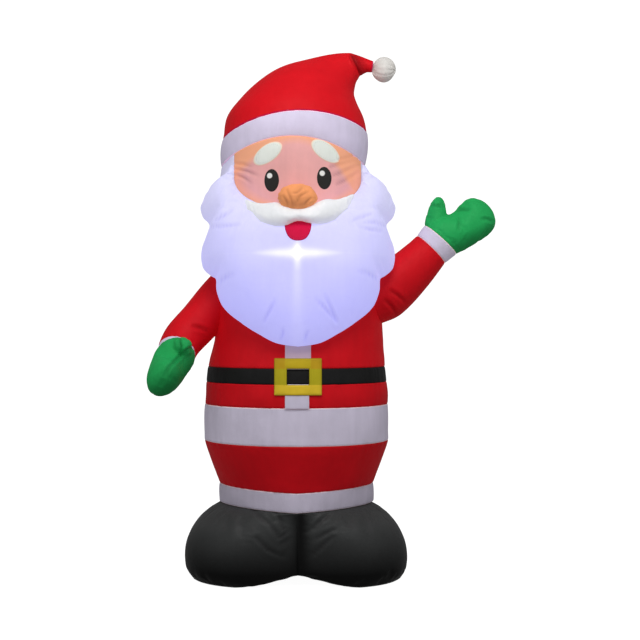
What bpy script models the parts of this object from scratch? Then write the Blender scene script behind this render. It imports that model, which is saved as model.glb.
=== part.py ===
"""A waving Santa, sewn from coloured polyester cloth and held up by the air inside it.

Every sewn panel or chamber is one closed solid. The figure stands upright on its two boots,
faces -Y, and waves its left arm, which is on the +X side. The origin is on the floor, in the
middle of the whole figure's length and width. Sizes are metres.
"""

import math

import bmesh
import bpy
from mathutils import Vector

# Cloth and seams
SEAM_GAP = 0.0003
PATCH_CLOTH = 0.0012

# Height of each panel of the body, from the floor up
BOOT_HEIGHT = 0.170
BOOT_CUFF_HEIGHT = 0.043
TROUSERS_HEIGHT = 0.0995
HEM_HEIGHT = 0.0825
SKIRT_HEIGHT = 0.051
BELT_HEIGHT = 0.0345
COAT_HEIGHT = 0.2645

# Half of the width at each seam of the body
ANKLE_HALF_WIDTH = 0.1800
HEM_LOWER_HALF_WIDTH = 0.2100
HEM_UPPER_HALF_WIDTH = 0.2110
BELT_LOWER_HALF_WIDTH = 0.2085
BELT_UPPER_HALF_WIDTH = 0.2035
BODY_DEPTH_SHARE = 0.93
HEM_BULGE = 0.002

# The coat above the belt: share of its height, share of the belt's upper half width
COAT_OUTLINE = (
    (0, 1), (0.19, 0.973), (0.38, 0.958), (0.56, 0.925), (0.71, 0.865), (0.86, 0.765), (1, 0.64),
)

# Seams that hang in shallow waves: squareness 2 is an ellipse, less is nearer to a diamond
ANKLE_SQUARENESS = 1.7
ANKLE_WAVE = 0.001
CALF_SQUARENESS = 1.8
CALF_WAVE = 0.001
ROUND = 2.0

# Boots: share of the height, share of the half span over both boots
BOOT_OUTLINE = (
    (0, 0.925), (0.055, 0.967), (0.135, 0.990), (0.30, 1), (0.54, 0.972), (0.70, 0.913), (0.781, 0.872),
    (0.862, 0.823), (0.943, 0.750), (1, 0.707),
)
BOOT_HALF_SPAN = 0.2545
BOOT_TOE_REACH = 0.212
BOOT_HEEL_REACH = 0.172
BOOT_CLEFT = 0.34
BOOT_CLEFT_WIDTH = 0.040
BOOT_ARCH = 0.020
BOOT_FLAT_SHARE = 0.86
BOOT_EDGE = 0.010

# Head: share of its height, share of its half width, rise to the front
HEAD_HEIGHT = 0.193
HEAD_HALF_WIDTH = 0.170
HEAD_LEAN = -0.0115
HEAD_DEPTH_SHARE = 0.95
HEAD_OUTLINE = (
    (0, 0.765, 0), (0.27, 0.92, 0.012), (0.56, 0.99, 0.030), (0.80, 1, 0.042), (1, 0.967, 0.050),
)
FACE_HALF_WIDTH = 0.142
FACE_BOTTOM = 0.082
FACE_CHIN = 0.075
FACE_BACK = -0.03

# Hat, above the brim: outline on the upper side and on the under side, half depth, rise to the front
HAT_OUTLINE = (
    ((-0.1730, 0.0680), (0.1592, 0.0820), 0.156, 0.031),
    ((-0.1638, 0.1144), (0.1500, 0.1130), 0.144, 0.020),
    ((-0.1338, 0.1559), (0.1361, 0.1444), 0.124, 0.012),
    ((-0.1015, 0.1882), (0.1292, 0.1651), 0.106, 0.006),
    ((-0.0646, 0.2158), (0.1300, 0.1800), 0.087, 0.003),
    ((-0.0277, 0.2343), (0.1338, 0.1951), 0.069, 0),
    ((0.0208, 0.2481), (0.1385, 0.2040), 0.051, 0),
    ((0.0715, 0.2597), (0.1453, 0.2124), 0.036, 0),
    ((0.1130, 0.2643), (0.1540, 0.2170), 0.024, 0),
    ((0.1361, 0.2597), (0.1600, 0.2195), 0.018, 0),
    ((0.1740, 0.2450), (0.1700, 0.2190), 0.013, 0),
)
HAT_BAND_BULGE = 0.007
POMPOM_RADIUS = 0.0293
POMPOM_CENTRE = (0.1977, -0.002, 0.2251)

# Beard: half of its outline, as a share of the face's half width and above the neck, from the horn down
BEARD_OUTLINE = (
    (1.148, 0.173), (1.338, 0.147), (1.483, 0.122), (1.542, 0.095), (1.512, 0.073), (1.423, 0.057),
    (1.394, 0.048), (1.430, 0.027), (1.507, 0.005), (1.532, -0.0195), (1.484, -0.045), (1.366, -0.062),
    (1.278, -0.073), (1.261, -0.095), (1.148, -0.132), (0.859, -0.167), (0.568, -0.1925), (0.317, -0.2095),
    (0, -0.2164),
)
BEARD_WRAP = 1.725
BEARD_UPPER_REACH = 0.155
BEARD_LOWER_REACH = 0.192
BEARD_HORN_BULGE = 0.016
BEARD_LOBE_BULGE = 0.045
BEARD_POUCH_BULGE = 0.078
BEARD_BACK = 0.05

# Moustache: across as a share of the face's half width, above the neck, half height, half depth, forward
MOUSTACHE_STATIONS = (
    (-0.873, 0.1050, 0.0050, 0.006, 0.150), (-0.775, 0.0945, 0.0135, 0.014, 0.163),
    (-0.620, 0.0765, 0.0210, 0.019, 0.180), (-0.422, 0.0635, 0.0245, 0.022, 0.193),
    (-0.211, 0.0640, 0.0200, 0.021, 0.200), (0, 0.0665, 0.0155, 0.019, 0.201),
    (0.211, 0.0665, 0.0200, 0.021, 0.200), (0.408, 0.0680, 0.0235, 0.022, 0.193),
    (0.592, 0.0790, 0.0210, 0.019, 0.181), (0.732, 0.0990, 0.0135, 0.014, 0.166),
    (0.824, 0.1170, 0.0050, 0.006, 0.152),
)

NOSE_CENTRE = (0, -0.196, 0.1071)
NOSE_RADII = (0.0431, 0.034, 0.0288)

# Sewn-on patches: outwards as a share of the face's half width, and how far the centre is under the brim
EYE_PLACE = (0.405, 0.0444)
EYE_RADII = (0.0161, 0.0245)
BROW_PLACE = (0.446, -0.0150)
BROW_RADII = (0.0355, 0.0178)
BROW_SLOPE_DEG = 34
MOUTH_HALF_WIDTH = 0.0285
MOUTH_TOP = 0.056
MOUTH_DEPTH = 0.047
PLACKET_HALF_WIDTH = 0.028
PLACKET_TUCK = 0.012
BUCKLE_HALF_WIDTH = 0.0514
BUCKLE_HALF_HEIGHT = 0.0399
BUCKLE_HOLE_HALF_WIDTH = 0.0241
BUCKLE_HOLE_HALF_HEIGHT = 0.0188

# Left arm, raised: upper and lower edge of the sleeve, across and above the belt, seen from the front
RAISED_ARM_FORWARD = 0.02
RAISED_SLEEVE = (
    ((0.1150, 0.2000), (0.1600, 0.0850)), ((0.1650, 0.2240), (0.1878, 0.0980)),
    ((0.1950, 0.2400), (0.2250, 0.1150)), ((0.2222, 0.2572), (0.2560, 0.1440)),
    ((0.2470, 0.2770), (0.2921, 0.1862)), ((0.2726, 0.2985), (0.3321, 0.2389)),
)
RAISED_WRIST = ((0.2898, 0.3227), (0.3589, 0.2595))
ARM_DEPTH_SHARE = 0.95

# Right arm, lowered and brought forward: centre (above the belt) and radius
LOWERED_SLEEVE = (
    ((-0.130, 0.005, 0.205), 0.055), ((-0.1785, -0.010, 0.160), 0.049), ((-0.222, -0.038, 0.103), 0.048),
    ((-0.257, -0.068, 0.063), 0.0485), ((-0.268, -0.095, 0.035), 0.0465),
)
LOWERED_WRIST = ((-0.2731, -0.115, 0.0234), 0.045)
LOWERED_HAND_DIRECTION = (-0.07, -0.94, -0.33)
LOWERED_THUMB_DIRECTION = (0.54, -0.31, 0.78)
LOWERED_HAND_SHARE = 0.93
LOWERED_HAND_LENGTH = 0.112

# Mitten: share of its length, offset to the thumb side, half width, half thickness
MITTEN_LENGTH = 0.130
MITTEN_PALM = (
    (0, 0, 0.0470, 0.0450), (0.15, -0.0045, 0.0515, 0.0440), (0.45, -0.0225, 0.0455, 0.0390),
    (0.60, -0.0260, 0.0465, 0.0370), (0.70, -0.0267, 0.0467, 0.0350), (0.82, -0.0255, 0.0445, 0.0310),
    (0.93, -0.0245, 0.0340, 0.0220), (1, -0.0230, 0.0130, 0.0090),
)
MITTEN_THUMB = ((0.10, 0.026, 0.0280), (0.27, 0.040, 0.0225), (0.42, 0.050, 0.0195), (0.53, 0.057, 0.0115))

# Number of sides of the faceted solids
BODY_SIDES = 40
HAT_SIDES = 32
TUBE_SIDES = 16

# Colours of the cloth, linear RGB
RED = (0.62, 0.012, 0.020)
WHITE = (0.72, 0.71, 0.76)
BLACK = (0.012, 0.012, 0.012)
GREEN = (0.02, 0.30, 0.075)
SKIN = (0.74, 0.38, 0.34)
ORANGE = (0.76, 0.27, 0.10)
YELLOW = (0.58, 0.44, 0.02)
ROSE = (0.58, 0.005, 0.05)

# Seam levels that follow from the panel heights
ANKLE = BOOT_HEIGHT
CALF = ANKLE + BOOT_CUFF_HEIGHT
HEM_LOWER = CALF + TROUSERS_HEIGHT
HEM_UPPER = HEM_LOWER + HEM_HEIGHT
BELT_LOWER = HEM_UPPER + SKIRT_HEIGHT
BELT_UPPER = BELT_LOWER + BELT_HEIGHT
NECK = BELT_UPPER + COAT_HEIGHT
BRIM = NECK + HEAD_HEIGHT


def clear_scene():
    for old in list(bpy.data.objects):
        bpy.data.objects.remove(old)


def cloth(colour):
    """The material of a plain woven cloth in this colour."""
    name = "cloth_%02d_%02d_%02d" % tuple(round(99 * c) for c in colour)
    material = bpy.data.materials.get(name) or bpy.data.materials.new(name)
    material.use_nodes = True
    shader = material.node_tree.nodes["Principled BSDF"]
    shader.inputs["Base Color"].default_value = (*colour, 1)
    shader.inputs["Roughness"].default_value = 0.55
    shader.inputs["Metallic"].default_value = 0
    return material


def finish(name, bm, colour=None):
    """Turns the bmesh into an object. Without a colour it is a hidden guide or cutter."""
    bmesh.ops.triangulate(bm, faces=bm.faces)
    bmesh.ops.recalc_face_normals(bm, faces=bm.faces)
    if bm.calc_volume(signed=True) < 0:
        bmesh.ops.reverse_faces(bm, faces=bm.faces)
    mesh = bpy.data.meshes.new(name)
    bm.to_mesh(mesh)
    bm.free()
    made = bpy.data.objects.new(name, mesh)
    bpy.context.scene.collection.objects.link(made)
    if colour is None:
        made.hide_render = True
        made.display_type = "WIRE"
    else:
        mesh.materials.append(cloth(colour))
        mesh.shade_smooth()
        mesh.set_sharp_from_angle(angle=math.radians(40))
    return made


def middle(points):
    return sum(points, Vector()) / len(points)


def skin(loops):
    """A bmesh ball drawn over loops of points, its poles in the middle of the first and last loop."""
    bm = bmesh.new()
    sides = len(loops[0])
    steps = len(loops) + 1
    bmesh.ops.create_uvsphere(bm, u_segments=sides, v_segments=steps, radius=1)
    for v in bm.verts:
        step = round(math.acos(max(-1, min(1, v.co.z))) / math.pi * steps)
        side = round(math.atan2(v.co.y, v.co.x) / math.tau * sides) % sides
        if step == 0:
            v.co = middle(loops[0])
        elif step == steps:
            v.co = middle(loops[-1])
        else:
            v.co = loops[step - 1][side]
    return bm


def bag(name, loops, colour=None):
    return finish(name, skin(loops), colour)


def grown(source, by):
    """A hidden copy of a piece, its surface moved outwards, to cut or to carry another piece."""
    bm = bmesh.new()
    bm.from_mesh(source.data)
    bm.normal_update()
    shifts = [v.normal * by for v in bm.verts]
    for v, shift in zip(bm.verts, shifts):
        v.co += shift
    return finish(source.name + ".grown", bm)


def combine(piece, operation, *others):
    for other in others:
        step = piece.modifiers.new(operation.title(), "BOOLEAN")
        step.operation = operation
        step.solver = "EXACT"
        step.object = other
    return piece


def cut(piece, *neighbours):
    """Cuts a piece back from its neighbours, leaving the seam gap."""
    return combine(piece, "DIFFERENCE", *[grown(n, SEAM_GAP) for n in neighbours])


def between(low, high, share):
    return low + (high - low) * share


def signed_power(value, power):
    return math.copysign(abs(value) ** power, value)


def ring(level, half_width, half_depth, squareness=ROUND, wave=0.0):
    """One level line round the body, a superellipse."""
    points = []
    for i in range(BODY_SIDES):
        angle = math.tau * i / BODY_SIDES
        x = half_width * signed_power(math.cos(angle), 2 / squareness)
        y = half_depth * signed_power(math.sin(angle), 2 / squareness)
        points.append(Vector((x, y, level + wave * math.sin(2 * angle) ** 2)))
    return points


def tipped_ring(left, right, half_depth, rise):
    """One line round the head or the hat, from its left to its right point, which rises to the front."""
    points = []
    for i in range(HAT_SIDES):
        angle = math.tau * i / HAT_SIDES
        forward = -math.sin(angle)
        point = left.lerp(right, (1 + math.cos(angle)) / 2)
        points.append(point + Vector((0, -half_depth * forward, rise * forward * abs(forward))))
    return points


# Body seams: level, half width, squareness, wave
def body_seams():
    return (
        (ANKLE, ANKLE_HALF_WIDTH, ANKLE_SQUARENESS, ANKLE_WAVE),
        (CALF, ANKLE_HALF_WIDTH, CALF_SQUARENESS, CALF_WAVE),
        (HEM_LOWER, HEM_LOWER_HALF_WIDTH, ROUND, 0.0),
        (HEM_UPPER, HEM_UPPER_HALF_WIDTH, ROUND, 0.0),
        (BELT_LOWER, BELT_LOWER_HALF_WIDTH, ROUND, 0.0),
        (BELT_UPPER, BELT_UPPER_HALF_WIDTH, ROUND, 0.0),
    )


def body_loops(low, high, steps, bulge=0.0, lift=0.0):
    """Level lines of a body panel from its upper seam down to its lower seam."""
    loops = []
    for i in range(steps, -1, -1):
        share = i / steps
        level, width, squareness, wave = (between(a, b, share) for a, b in zip(low, high))
        width += bulge * math.sin(math.pi * share)
        if i == 0:
            level += lift
        loops.append(ring(level, width, width * BODY_DEPTH_SHARE, squareness, wave))
    return loops


def coat_loops(lift):
    loops = []
    for share, width_share in reversed(COAT_OUTLINE):
        level = BELT_UPPER + share * COAT_HEIGHT
        if share == 0:
            level += lift
        width = BELT_UPPER_HALF_WIDTH * width_share
        loops.append(ring(level, width, width * BODY_DEPTH_SHARE))
    return loops


def body_panels():
    """The stack of cloth rings from the boots to the neck."""
    seams = body_seams()
    plan = (
        ("boot_cuff", WHITE, 1, 0.0),
        ("trousers", RED, 3, 0.0),
        ("coat_hem", WHITE, 3, HEM_BULGE),
        ("coat_skirt", RED, 1, 0.0),
        ("belt", BLACK, 1, 0.0),
    )
    made = {}
    for (name, colour, steps, bulge), low, high in zip(plan, seams, seams[1:]):
        made[name] = bag(name, body_loops(low, high, steps, bulge, SEAM_GAP), colour)
    made["coat"] = bag("coat", coat_loops(SEAM_GAP), RED)
    return made


def waist_form():
    """The coat, belt and skirt as one hidden form, which the buckle and the placket lie on."""
    loops = coat_loops(0)
    seams = body_seams()
    for low, high in reversed(tuple(zip(seams[3:], seams[4:]))):
        loops += body_loops(low, high, 1)[1:]
    return bag("waist_form", loops)


def boot(name, side, cuff):
    """One boot. Its inner wall stands against the other's, and its sole is flat."""
    half = BODY_SIDES // 2
    inner_wall = 6
    narrow = BOOT_OUTLINE[-1][1]
    loops = []
    for share, span_share in reversed(BOOT_OUTLINE):
        swell = (span_share - narrow) / (1 - narrow)
        squareness = between(ANKLE_SQUARENESS, 2.2, swell)
        loop = []
        for i in range(half + 1):
            angle = -math.pi / 2 + math.pi * i / half
            across = BOOT_HALF_SPAN * span_share * abs(math.cos(angle)) ** (2 / squareness)
            reach = BOOT_TOE_REACH if angle < 0 else BOOT_HEEL_REACH
            depth = between(ANKLE_HALF_WIDTH * BODY_DEPTH_SHARE, reach, swell)
            cleft = BOOT_CLEFT * swell * math.exp(-across / BOOT_CLEFT_WIDTH)
            along = depth * signed_power(math.sin(angle), 2 / squareness) * (1 - cleft)
            wave = ANKLE_WAVE * max(0, 1 - 4 * swell) * math.sin(2 * angle) ** 2
            level = between(BOOT_EDGE, ANKLE, share) + wave
            arch = BOOT_ARCH * math.exp(-across / BOOT_CLEFT_WIDTH)
            loop.append(Vector((across, along, between(max(level, arch), level, share))))
        loop += [loop[-1].lerp(loop[0], k / inner_wall) for k in range(1, inner_wall)]
        for p in loop:
            p.x = side * max(p.x, SEAM_GAP)
        loops.append(loop)
    centre = middle(loops[-1])
    flat = Vector((centre.x, centre.y, 0))
    loops.append([flat.lerp(Vector((p.x, p.y, 0)), BOOT_FLAT_SHARE) for p in loops[-1]])
    return cut(bag(name, loops, BLACK), cuff)


def head_loops():
    loops = []
    for share, width_share, rise in reversed(HEAD_OUTLINE):
        width = HEAD_HALF_WIDTH * width_share
        level = NECK + max(SEAM_GAP, share * HEAD_HEIGHT)
        centre = HEAD_LEAN * share
        left, right = Vector((centre - width, 0, level)), Vector((centre + width, 0, level))
        loops.append(tipped_ring(left, right, width * HEAD_DEPTH_SHARE, rise))
    return loops


def face_prism(name, margin):
    """The outline of the face, drawn from the front and pushed back into the head."""
    points = []
    steps = 12
    for i in range(steps + 1):
        angle = math.pi * i / steps
        x = -(FACE_HALF_WIDTH + margin) * math.cos(angle)
        z = NECK + FACE_BOTTOM + FACE_CHIN - (FACE_CHIN + margin) * math.sin(angle)
        points.append((x, z))
    top = BRIM + HEAD_HEIGHT
    points += [(FACE_HALF_WIDTH + margin, top), (-FACE_HALF_WIDTH - margin, top)]
    return prism(name, points, -2 * HEAD_HALF_WIDTH, FACE_BACK + margin)


def prism(name, outline, front, back):
    """A hidden block with this outline (across, up), from one depth to another."""
    bm = bmesh.new()
    corners = [bm.verts.new((x, front, z)) for x, z in outline]
    face = bm.faces.new(corners)
    pushed = bmesh.ops.extrude_face_region(bm, geom=[face])
    moved = [g for g in pushed["geom"] if isinstance(g, bmesh.types.BMVert)]
    bmesh.ops.translate(bm, verts=moved, vec=(0, back - front, 0))
    return finish(name, bm)


def head():
    """The pink face panel and the white panel round the sides and back of the head."""
    form = bag("head_form", head_loops())
    face = bag("face", head_loops(), SKIN)
    combine(face, "INTERSECT", face_prism("face_prism", 0))
    hair = bag("hair", head_loops(), WHITE)
    combine(hair, "DIFFERENCE", face_prism("hair_pocket", SEAM_GAP))
    return form, face, hair


def hat_ring(row, lift=0.0):
    (left_x, left_z), (right_x, right_z), half_depth, rise = row
    left = Vector((left_x, 0, BRIM + left_z + lift))
    right = Vector((right_x, 0, BRIM + right_z + lift))
    return tipped_ring(left, right, half_depth, rise)


def hat():
    """The red cone with its bent tip, and the ball on it."""
    loops = [hat_ring(row) for row in reversed(HAT_OUTLINE[1:])]
    cone = bag("hat", [*loops, hat_ring(HAT_OUTLINE[0], SEAM_GAP)], RED)
    ball = bmesh.new()
    bmesh.ops.create_uvsphere(ball, u_segments=TUBE_SIDES, v_segments=10, radius=POMPOM_RADIUS)
    turn = Vector((1, 0, 0)).rotation_difference((0, 0, 1)).to_matrix()
    bmesh.ops.rotate(ball, verts=ball.verts, matrix=turn)
    x, y, z = POMPOM_CENTRE
    bmesh.ops.translate(ball, verts=ball.verts, vec=(x, y, BRIM + z))
    pompom = finish("pompom", ball, WHITE)
    cut(pompom, cone)
    return cone, pompom


def hat_band():
    """The white band between the head and the hat, wider at the sides than in front."""
    low = [p + Vector((0, 0, SEAM_GAP)) for p in head_loops()[0]]
    high = hat_ring(HAT_OUTLINE[0])
    steps = 4
    loops = []
    for i in range(steps, -1, -1):
        share = i / steps
        swell = HAT_BAND_BULGE * math.sin(math.pi * share) ** 0.7 if 0 < i < steps else 0
        loop = []
        for a, b in zip(low, high):
            p = a.lerp(b, share)
            p += Vector((p.x, p.y, 0)).normalized() * swell
            loop.append(p)
        loops.append(loop)
    return bag("hat_band", loops, WHITE)


def beard_inner(share):
    """A point on the beard's inner edge, along the face: share 0 is under the brim, 1 is the chin."""
    straight = 0.2
    if share < straight:
        return FACE_HALF_WIDTH, between(HEAD_HEIGHT * 0.95, FACE_BOTTOM + FACE_CHIN, share / straight)
    angle = (share - straight) / (1 - straight) * math.pi / 2
    return FACE_HALF_WIDTH * math.cos(angle), FACE_BOTTOM + FACE_CHIN - FACE_CHIN * math.sin(angle)


def beard_rest(x, z):
    """How far forward the beard's seams lie, at this place above the neck."""
    low = min(r[1] for r in BEARD_OUTLINE)
    drop = min(1, max(0, (FACE_BOTTOM - z) / (FACE_BOTTOM - low)))
    reach = between(BEARD_UPPER_REACH, BEARD_LOWER_REACH, drop)
    return -reach * math.sqrt(max(0, 1 - (x / (BEARD_WRAP * FACE_HALF_WIDTH)) ** 2))


def beard_loop(position, side):
    """One section across the beard, from the face to its outer edge and back behind."""
    last = len(BEARD_OUTLINE) - 1
    outer = (BEARD_OUTLINE[position][0] * FACE_HALF_WIDTH, BEARD_OUTLINE[position][1])
    share = position / last
    inner = beard_inner(share)
    length = math.hypot(outer[0] - inner[0], outer[1] - inner[1])
    bulge = between(BEARD_HORN_BULGE, BEARD_LOBE_BULGE, min(1, share * 4))
    bulge = between(bulge, BEARD_POUCH_BULGE, max(0, min(1, (share - 0.35) / 0.35)))
    bulge = min(bulge, length * 0.6)
    front, back = 7, 5
    points = []
    for k in range(front):
        u = k / (front - 1)
        x, z = between(inner[0], outer[0], u), between(inner[1], outer[1], u)
        y = beard_rest(x, z) - bulge * math.sin(math.pi * u) ** 0.65
        points.append(Vector((side * x, y, NECK + z)))
    for k in range(1, back + 1):
        u = 1 - k / (back + 1)
        x, z = between(inner[0], outer[0], u), between(inner[1], outer[1], u)
        y = beard_rest(x, z) + BEARD_BACK * math.sin(math.pi * u)
        points.append(Vector((side * x, y, NECK + z)))
    return points


def beard_form():
    last = len(BEARD_OUTLINE) - 1
    right = [beard_loop(i, -1) for i in range(last + 1)]
    left = [beard_loop(i, 1) for i in range(last - 1, -1, -1)]
    return right + left


def moustache():
    loops = []
    for x, z, half_height, half_depth, forward in MOUSTACHE_STATIONS:
        loops.append([
            Vector((
                x * FACE_HALF_WIDTH,
                -forward + half_depth * math.cos(math.tau * i / TUBE_SIDES),
                NECK + z + half_height * math.sin(math.tau * i / TUBE_SIDES),
            ))
            for i in range(TUBE_SIDES)
        ])
    return bag("moustache", loops, WHITE)


def nose():
    bm = bmesh.new()
    bmesh.ops.create_uvsphere(bm, u_segments=TUBE_SIDES, v_segments=8, radius=1)
    bmesh.ops.scale(bm, verts=bm.verts, vec=NOSE_RADII)
    x, y, z = NOSE_CENTRE
    bmesh.ops.translate(bm, verts=bm.verts, vec=(x, y, NECK + z))
    return finish("nose", bm, ORANGE)


def oval(centre, radii, slope_deg=0.0, steps=20, half=False):
    """An oval outline (across, up), or with half its lower half with a straight top."""
    slope = math.radians(slope_deg)
    points = []
    for i in range(steps + (1 if half else 0)):
        angle = math.pi + math.pi * i / steps if half else math.tau * i / steps
        a, b = radii[0] * math.cos(angle), radii[1] * math.sin(angle)
        points.append((
            centre[0] + a * math.cos(slope) - b * math.sin(slope),
            centre[1] + a * math.sin(slope) + b * math.cos(slope),
        ))
    return points


def rectangle(left, right, bottom, top):
    return [(left, bottom), (right, bottom), (right, top), (left, top)]


def patch(name, carrier, outline, colour, layer=0, back=FACE_BACK):
    """A piece of cloth sewn on the front of a carrier, in this outline seen from the front."""
    under = SEAM_GAP + layer * (PATCH_CLOTH + SEAM_GAP)
    bm = bmesh.new()
    bm.from_mesh(grown(carrier, under + PATCH_CLOTH).data)
    piece = finish(name, bm, colour)
    combine(piece, "INTERSECT", prism(name + "_outline", outline, -2 * BODY_REACH, back))
    combine(piece, "DIFFERENCE", grown(carrier, under))
    return piece


BODY_REACH = max(HEM_LOWER_HALF_WIDTH, BEARD_LOWER_REACH + BEARD_POUCH_BULGE)


def raised_ring(upper, lower):
    top = Vector((upper[0], -RAISED_ARM_FORWARD, BELT_UPPER + upper[1]))
    bottom = Vector((lower[0], -RAISED_ARM_FORWARD, BELT_UPPER + lower[1]))
    across = (top - bottom) / 2
    front = Vector((0, -across.length * ARM_DEPTH_SHARE, 0))
    angles = [math.tau * i / TUBE_SIDES for i in range(TUBE_SIDES)]
    return [(top + bottom) / 2 + across * math.cos(a) + front * math.sin(a) for a in angles]


def round_ring(centre, axis, aside, radius):
    """A circle of points round an axis, starting on the side that aside points to."""
    axis = axis.normalized()
    first = (aside - axis * aside.dot(axis)).normalized() * radius
    second = axis.cross(first)
    return [
        centre + first * math.cos(math.tau * i / TUBE_SIDES) + second * math.sin(math.tau * i / TUBE_SIDES)
        for i in range(TUBE_SIDES)
    ]


def lowered_rings():
    """Circles along the lowered arm, the last one at the wrist."""
    rows = [*LOWERED_SLEEVE, LOWERED_WRIST]
    centres = [Vector((x, y, BELT_UPPER + z)) for (x, y, z), radius in rows]
    aside = Vector(LOWERED_THUMB_DIRECTION)
    rings = []
    for i, (place, radius) in enumerate(rows):
        before, after = centres[max(0, i - 1)], centres[min(len(rows) - 1, i + 1)]
        rings.append(round_ring(centres[i], after - before, aside, radius))
    return rings


def lifted(loop, toward, by):
    """The loop moved a little along the arm, to leave the seam gap."""
    step = (middle(toward) - middle(loop)).normalized() * by
    return [p + step for p in loop]


def mitten(name, wrist_ring, direction, thumb_side, length=MITTEN_LENGTH, size=1.0):
    """A mitten that grows out of the wrist's ring: a flattened hand and a thumb."""
    direction = direction.normalized()
    wrist = middle(wrist_ring)
    aside = (thumb_side - direction * thumb_side.dot(direction)).normalized()
    through = direction.cross(aside)

    def section(share, offset, half_width, half_thickness):
        centre = wrist + direction * (share * length) + aside * (offset * size)
        return [
            centre
            + aside * (size * half_width) * math.cos(math.tau * i / TUBE_SIDES)
            + through * (size * half_thickness) * math.sin(math.tau * i / TUBE_SIDES)
            for i in range(TUBE_SIDES)
        ]

    palm_loops = [lifted(wrist_ring, section(*MITTEN_PALM[1]), SEAM_GAP)]
    palm_loops += [section(*row) for row in MITTEN_PALM[1:]]
    palm = bag(name, palm_loops, GREEN)
    spine = [wrist + direction * (row[0] * length) + aside * (row[1] * size) for row in MITTEN_THUMB]
    along = spine[-1] - spine[0]
    thumb_loops = [round_ring(c, along, through, row[2] * size) for c, row in zip(spine, MITTEN_THUMB)]
    combine(palm, "UNION", bag(name + "_thumb", thumb_loops))
    return palm


def raised_arm(coat):
    sleeve_loops = [raised_ring(*row) for row in RAISED_SLEEVE]
    wrist = raised_ring(*RAISED_WRIST)
    sleeve = bag("left_sleeve", sleeve_loops, RED)
    cut(sleeve, coat)
    cuff = bag("left_cuff", [lifted(sleeve_loops[-1], wrist, SEAM_GAP), wrist], WHITE)
    along = middle(wrist) - middle(sleeve_loops[-1])
    across = wrist[0] - wrist[TUBE_SIDES // 2]
    direction = Vector((across.z, 0, -across.x))
    direction = direction if direction.dot(along) > 0 else -direction
    cut(mitten("left_mitten", wrist, direction, across), cuff)
    return sleeve


def lowered_arm(coat):
    rings = lowered_rings()
    sleeve = bag("right_sleeve", rings[:-1], RED)
    cut(sleeve, coat)
    cuff = bag("right_cuff", [lifted(rings[-2], rings[-1], SEAM_GAP), rings[-1]], WHITE)
    direction, thumb_side = Vector(LOWERED_HAND_DIRECTION), Vector(LOWERED_THUMB_DIRECTION)
    hand = mitten(
        "right_mitten", rings[-1], direction, thumb_side, LOWERED_HAND_LENGTH, LOWERED_HAND_SHARE)
    cut(hand, cuff)
    return sleeve


def above_neck(points):
    return [(x, NECK + z) for x, z in points]


def face_place(place, side):
    """A place on the face, given as a share of its half width and a drop under the brim."""
    return side * place[0] * FACE_HALF_WIDTH, HEAD_HEIGHT - place[1]


def face_details(head_form, beard, lip, band):
    """Eyes, brows and mouth, each a patch of cloth that follows what it is sewn to."""
    for name, side in (("right", -1), ("left", 1)):
        patch(name + "_eye", head_form, above_neck(oval(face_place(EYE_PLACE, side), EYE_RADII)), BLACK)
        centre = face_place(BROW_PLACE, side)
        brow = patch(
            name + "_brow", head_form, above_neck(oval(centre, BROW_RADII, -side * BROW_SLOPE_DEG)), WHITE)
        cut(brow, band)
    outline = above_neck(oval((0, MOUTH_TOP), (MOUTH_HALF_WIDTH, MOUTH_DEPTH), half=True))
    cut(patch("mouth", beard, outline, ROSE, back=-BEARD_UPPER_REACH), lip)


def waist_details(beard):
    """The white placket down the front and the buckle over the belt."""
    form = waist_form()
    middle_level = (BELT_LOWER + BELT_UPPER) / 2
    chin = NECK + BEARD_OUTLINE[-1][1]
    upper = patch(
        "placket_upper", form,
        rectangle(-PLACKET_HALF_WIDTH, PLACKET_HALF_WIDTH, BELT_UPPER, chin + PLACKET_TUCK), WHITE)
    cut(upper, beard)
    patch(
        "placket_lower", form,
        rectangle(-PLACKET_HALF_WIDTH, PLACKET_HALF_WIDTH, HEM_UPPER, BELT_LOWER), WHITE)
    buckle = patch(
        "buckle", form,
        rectangle(
            -BUCKLE_HALF_WIDTH, BUCKLE_HALF_WIDTH,
            middle_level - BUCKLE_HALF_HEIGHT, middle_level + BUCKLE_HALF_HEIGHT),
        YELLOW, layer=1)
    hole = prism(
        "buckle_hole",
        rectangle(
            -BUCKLE_HOLE_HALF_WIDTH, BUCKLE_HOLE_HALF_WIDTH,
            middle_level - BUCKLE_HOLE_HALF_HEIGHT, middle_level + BUCKLE_HOLE_HALF_HEIGHT),
        -2 * BODY_REACH, FACE_BACK)
    combine(buckle, "DIFFERENCE", hole)


def stand_on_origin():
    """Moves the whole figure so that the origin is on the floor, in the middle of its length and width."""
    bpy.context.view_layer.update()
    graph = bpy.context.evaluated_depsgraph_get()
    shown = [o for o in bpy.data.objects if o.type == "MESH" and not o.hide_render]
    corners = [Vector(c) for o in shown for c in o.evaluated_get(graph).bound_box]
    low = Vector(min(c[i] for c in corners) for i in range(3))
    high = Vector(max(c[i] for c in corners) for i in range(3))
    stand = bpy.data.objects.new("stand", None)
    bpy.context.scene.collection.objects.link(stand)
    for o in bpy.data.objects:
        if o.type == "MESH":
            o.parent = stand
    stand.location = (-(low.x + high.x) / 2, -(low.y + high.y) / 2, -low.z)


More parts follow.
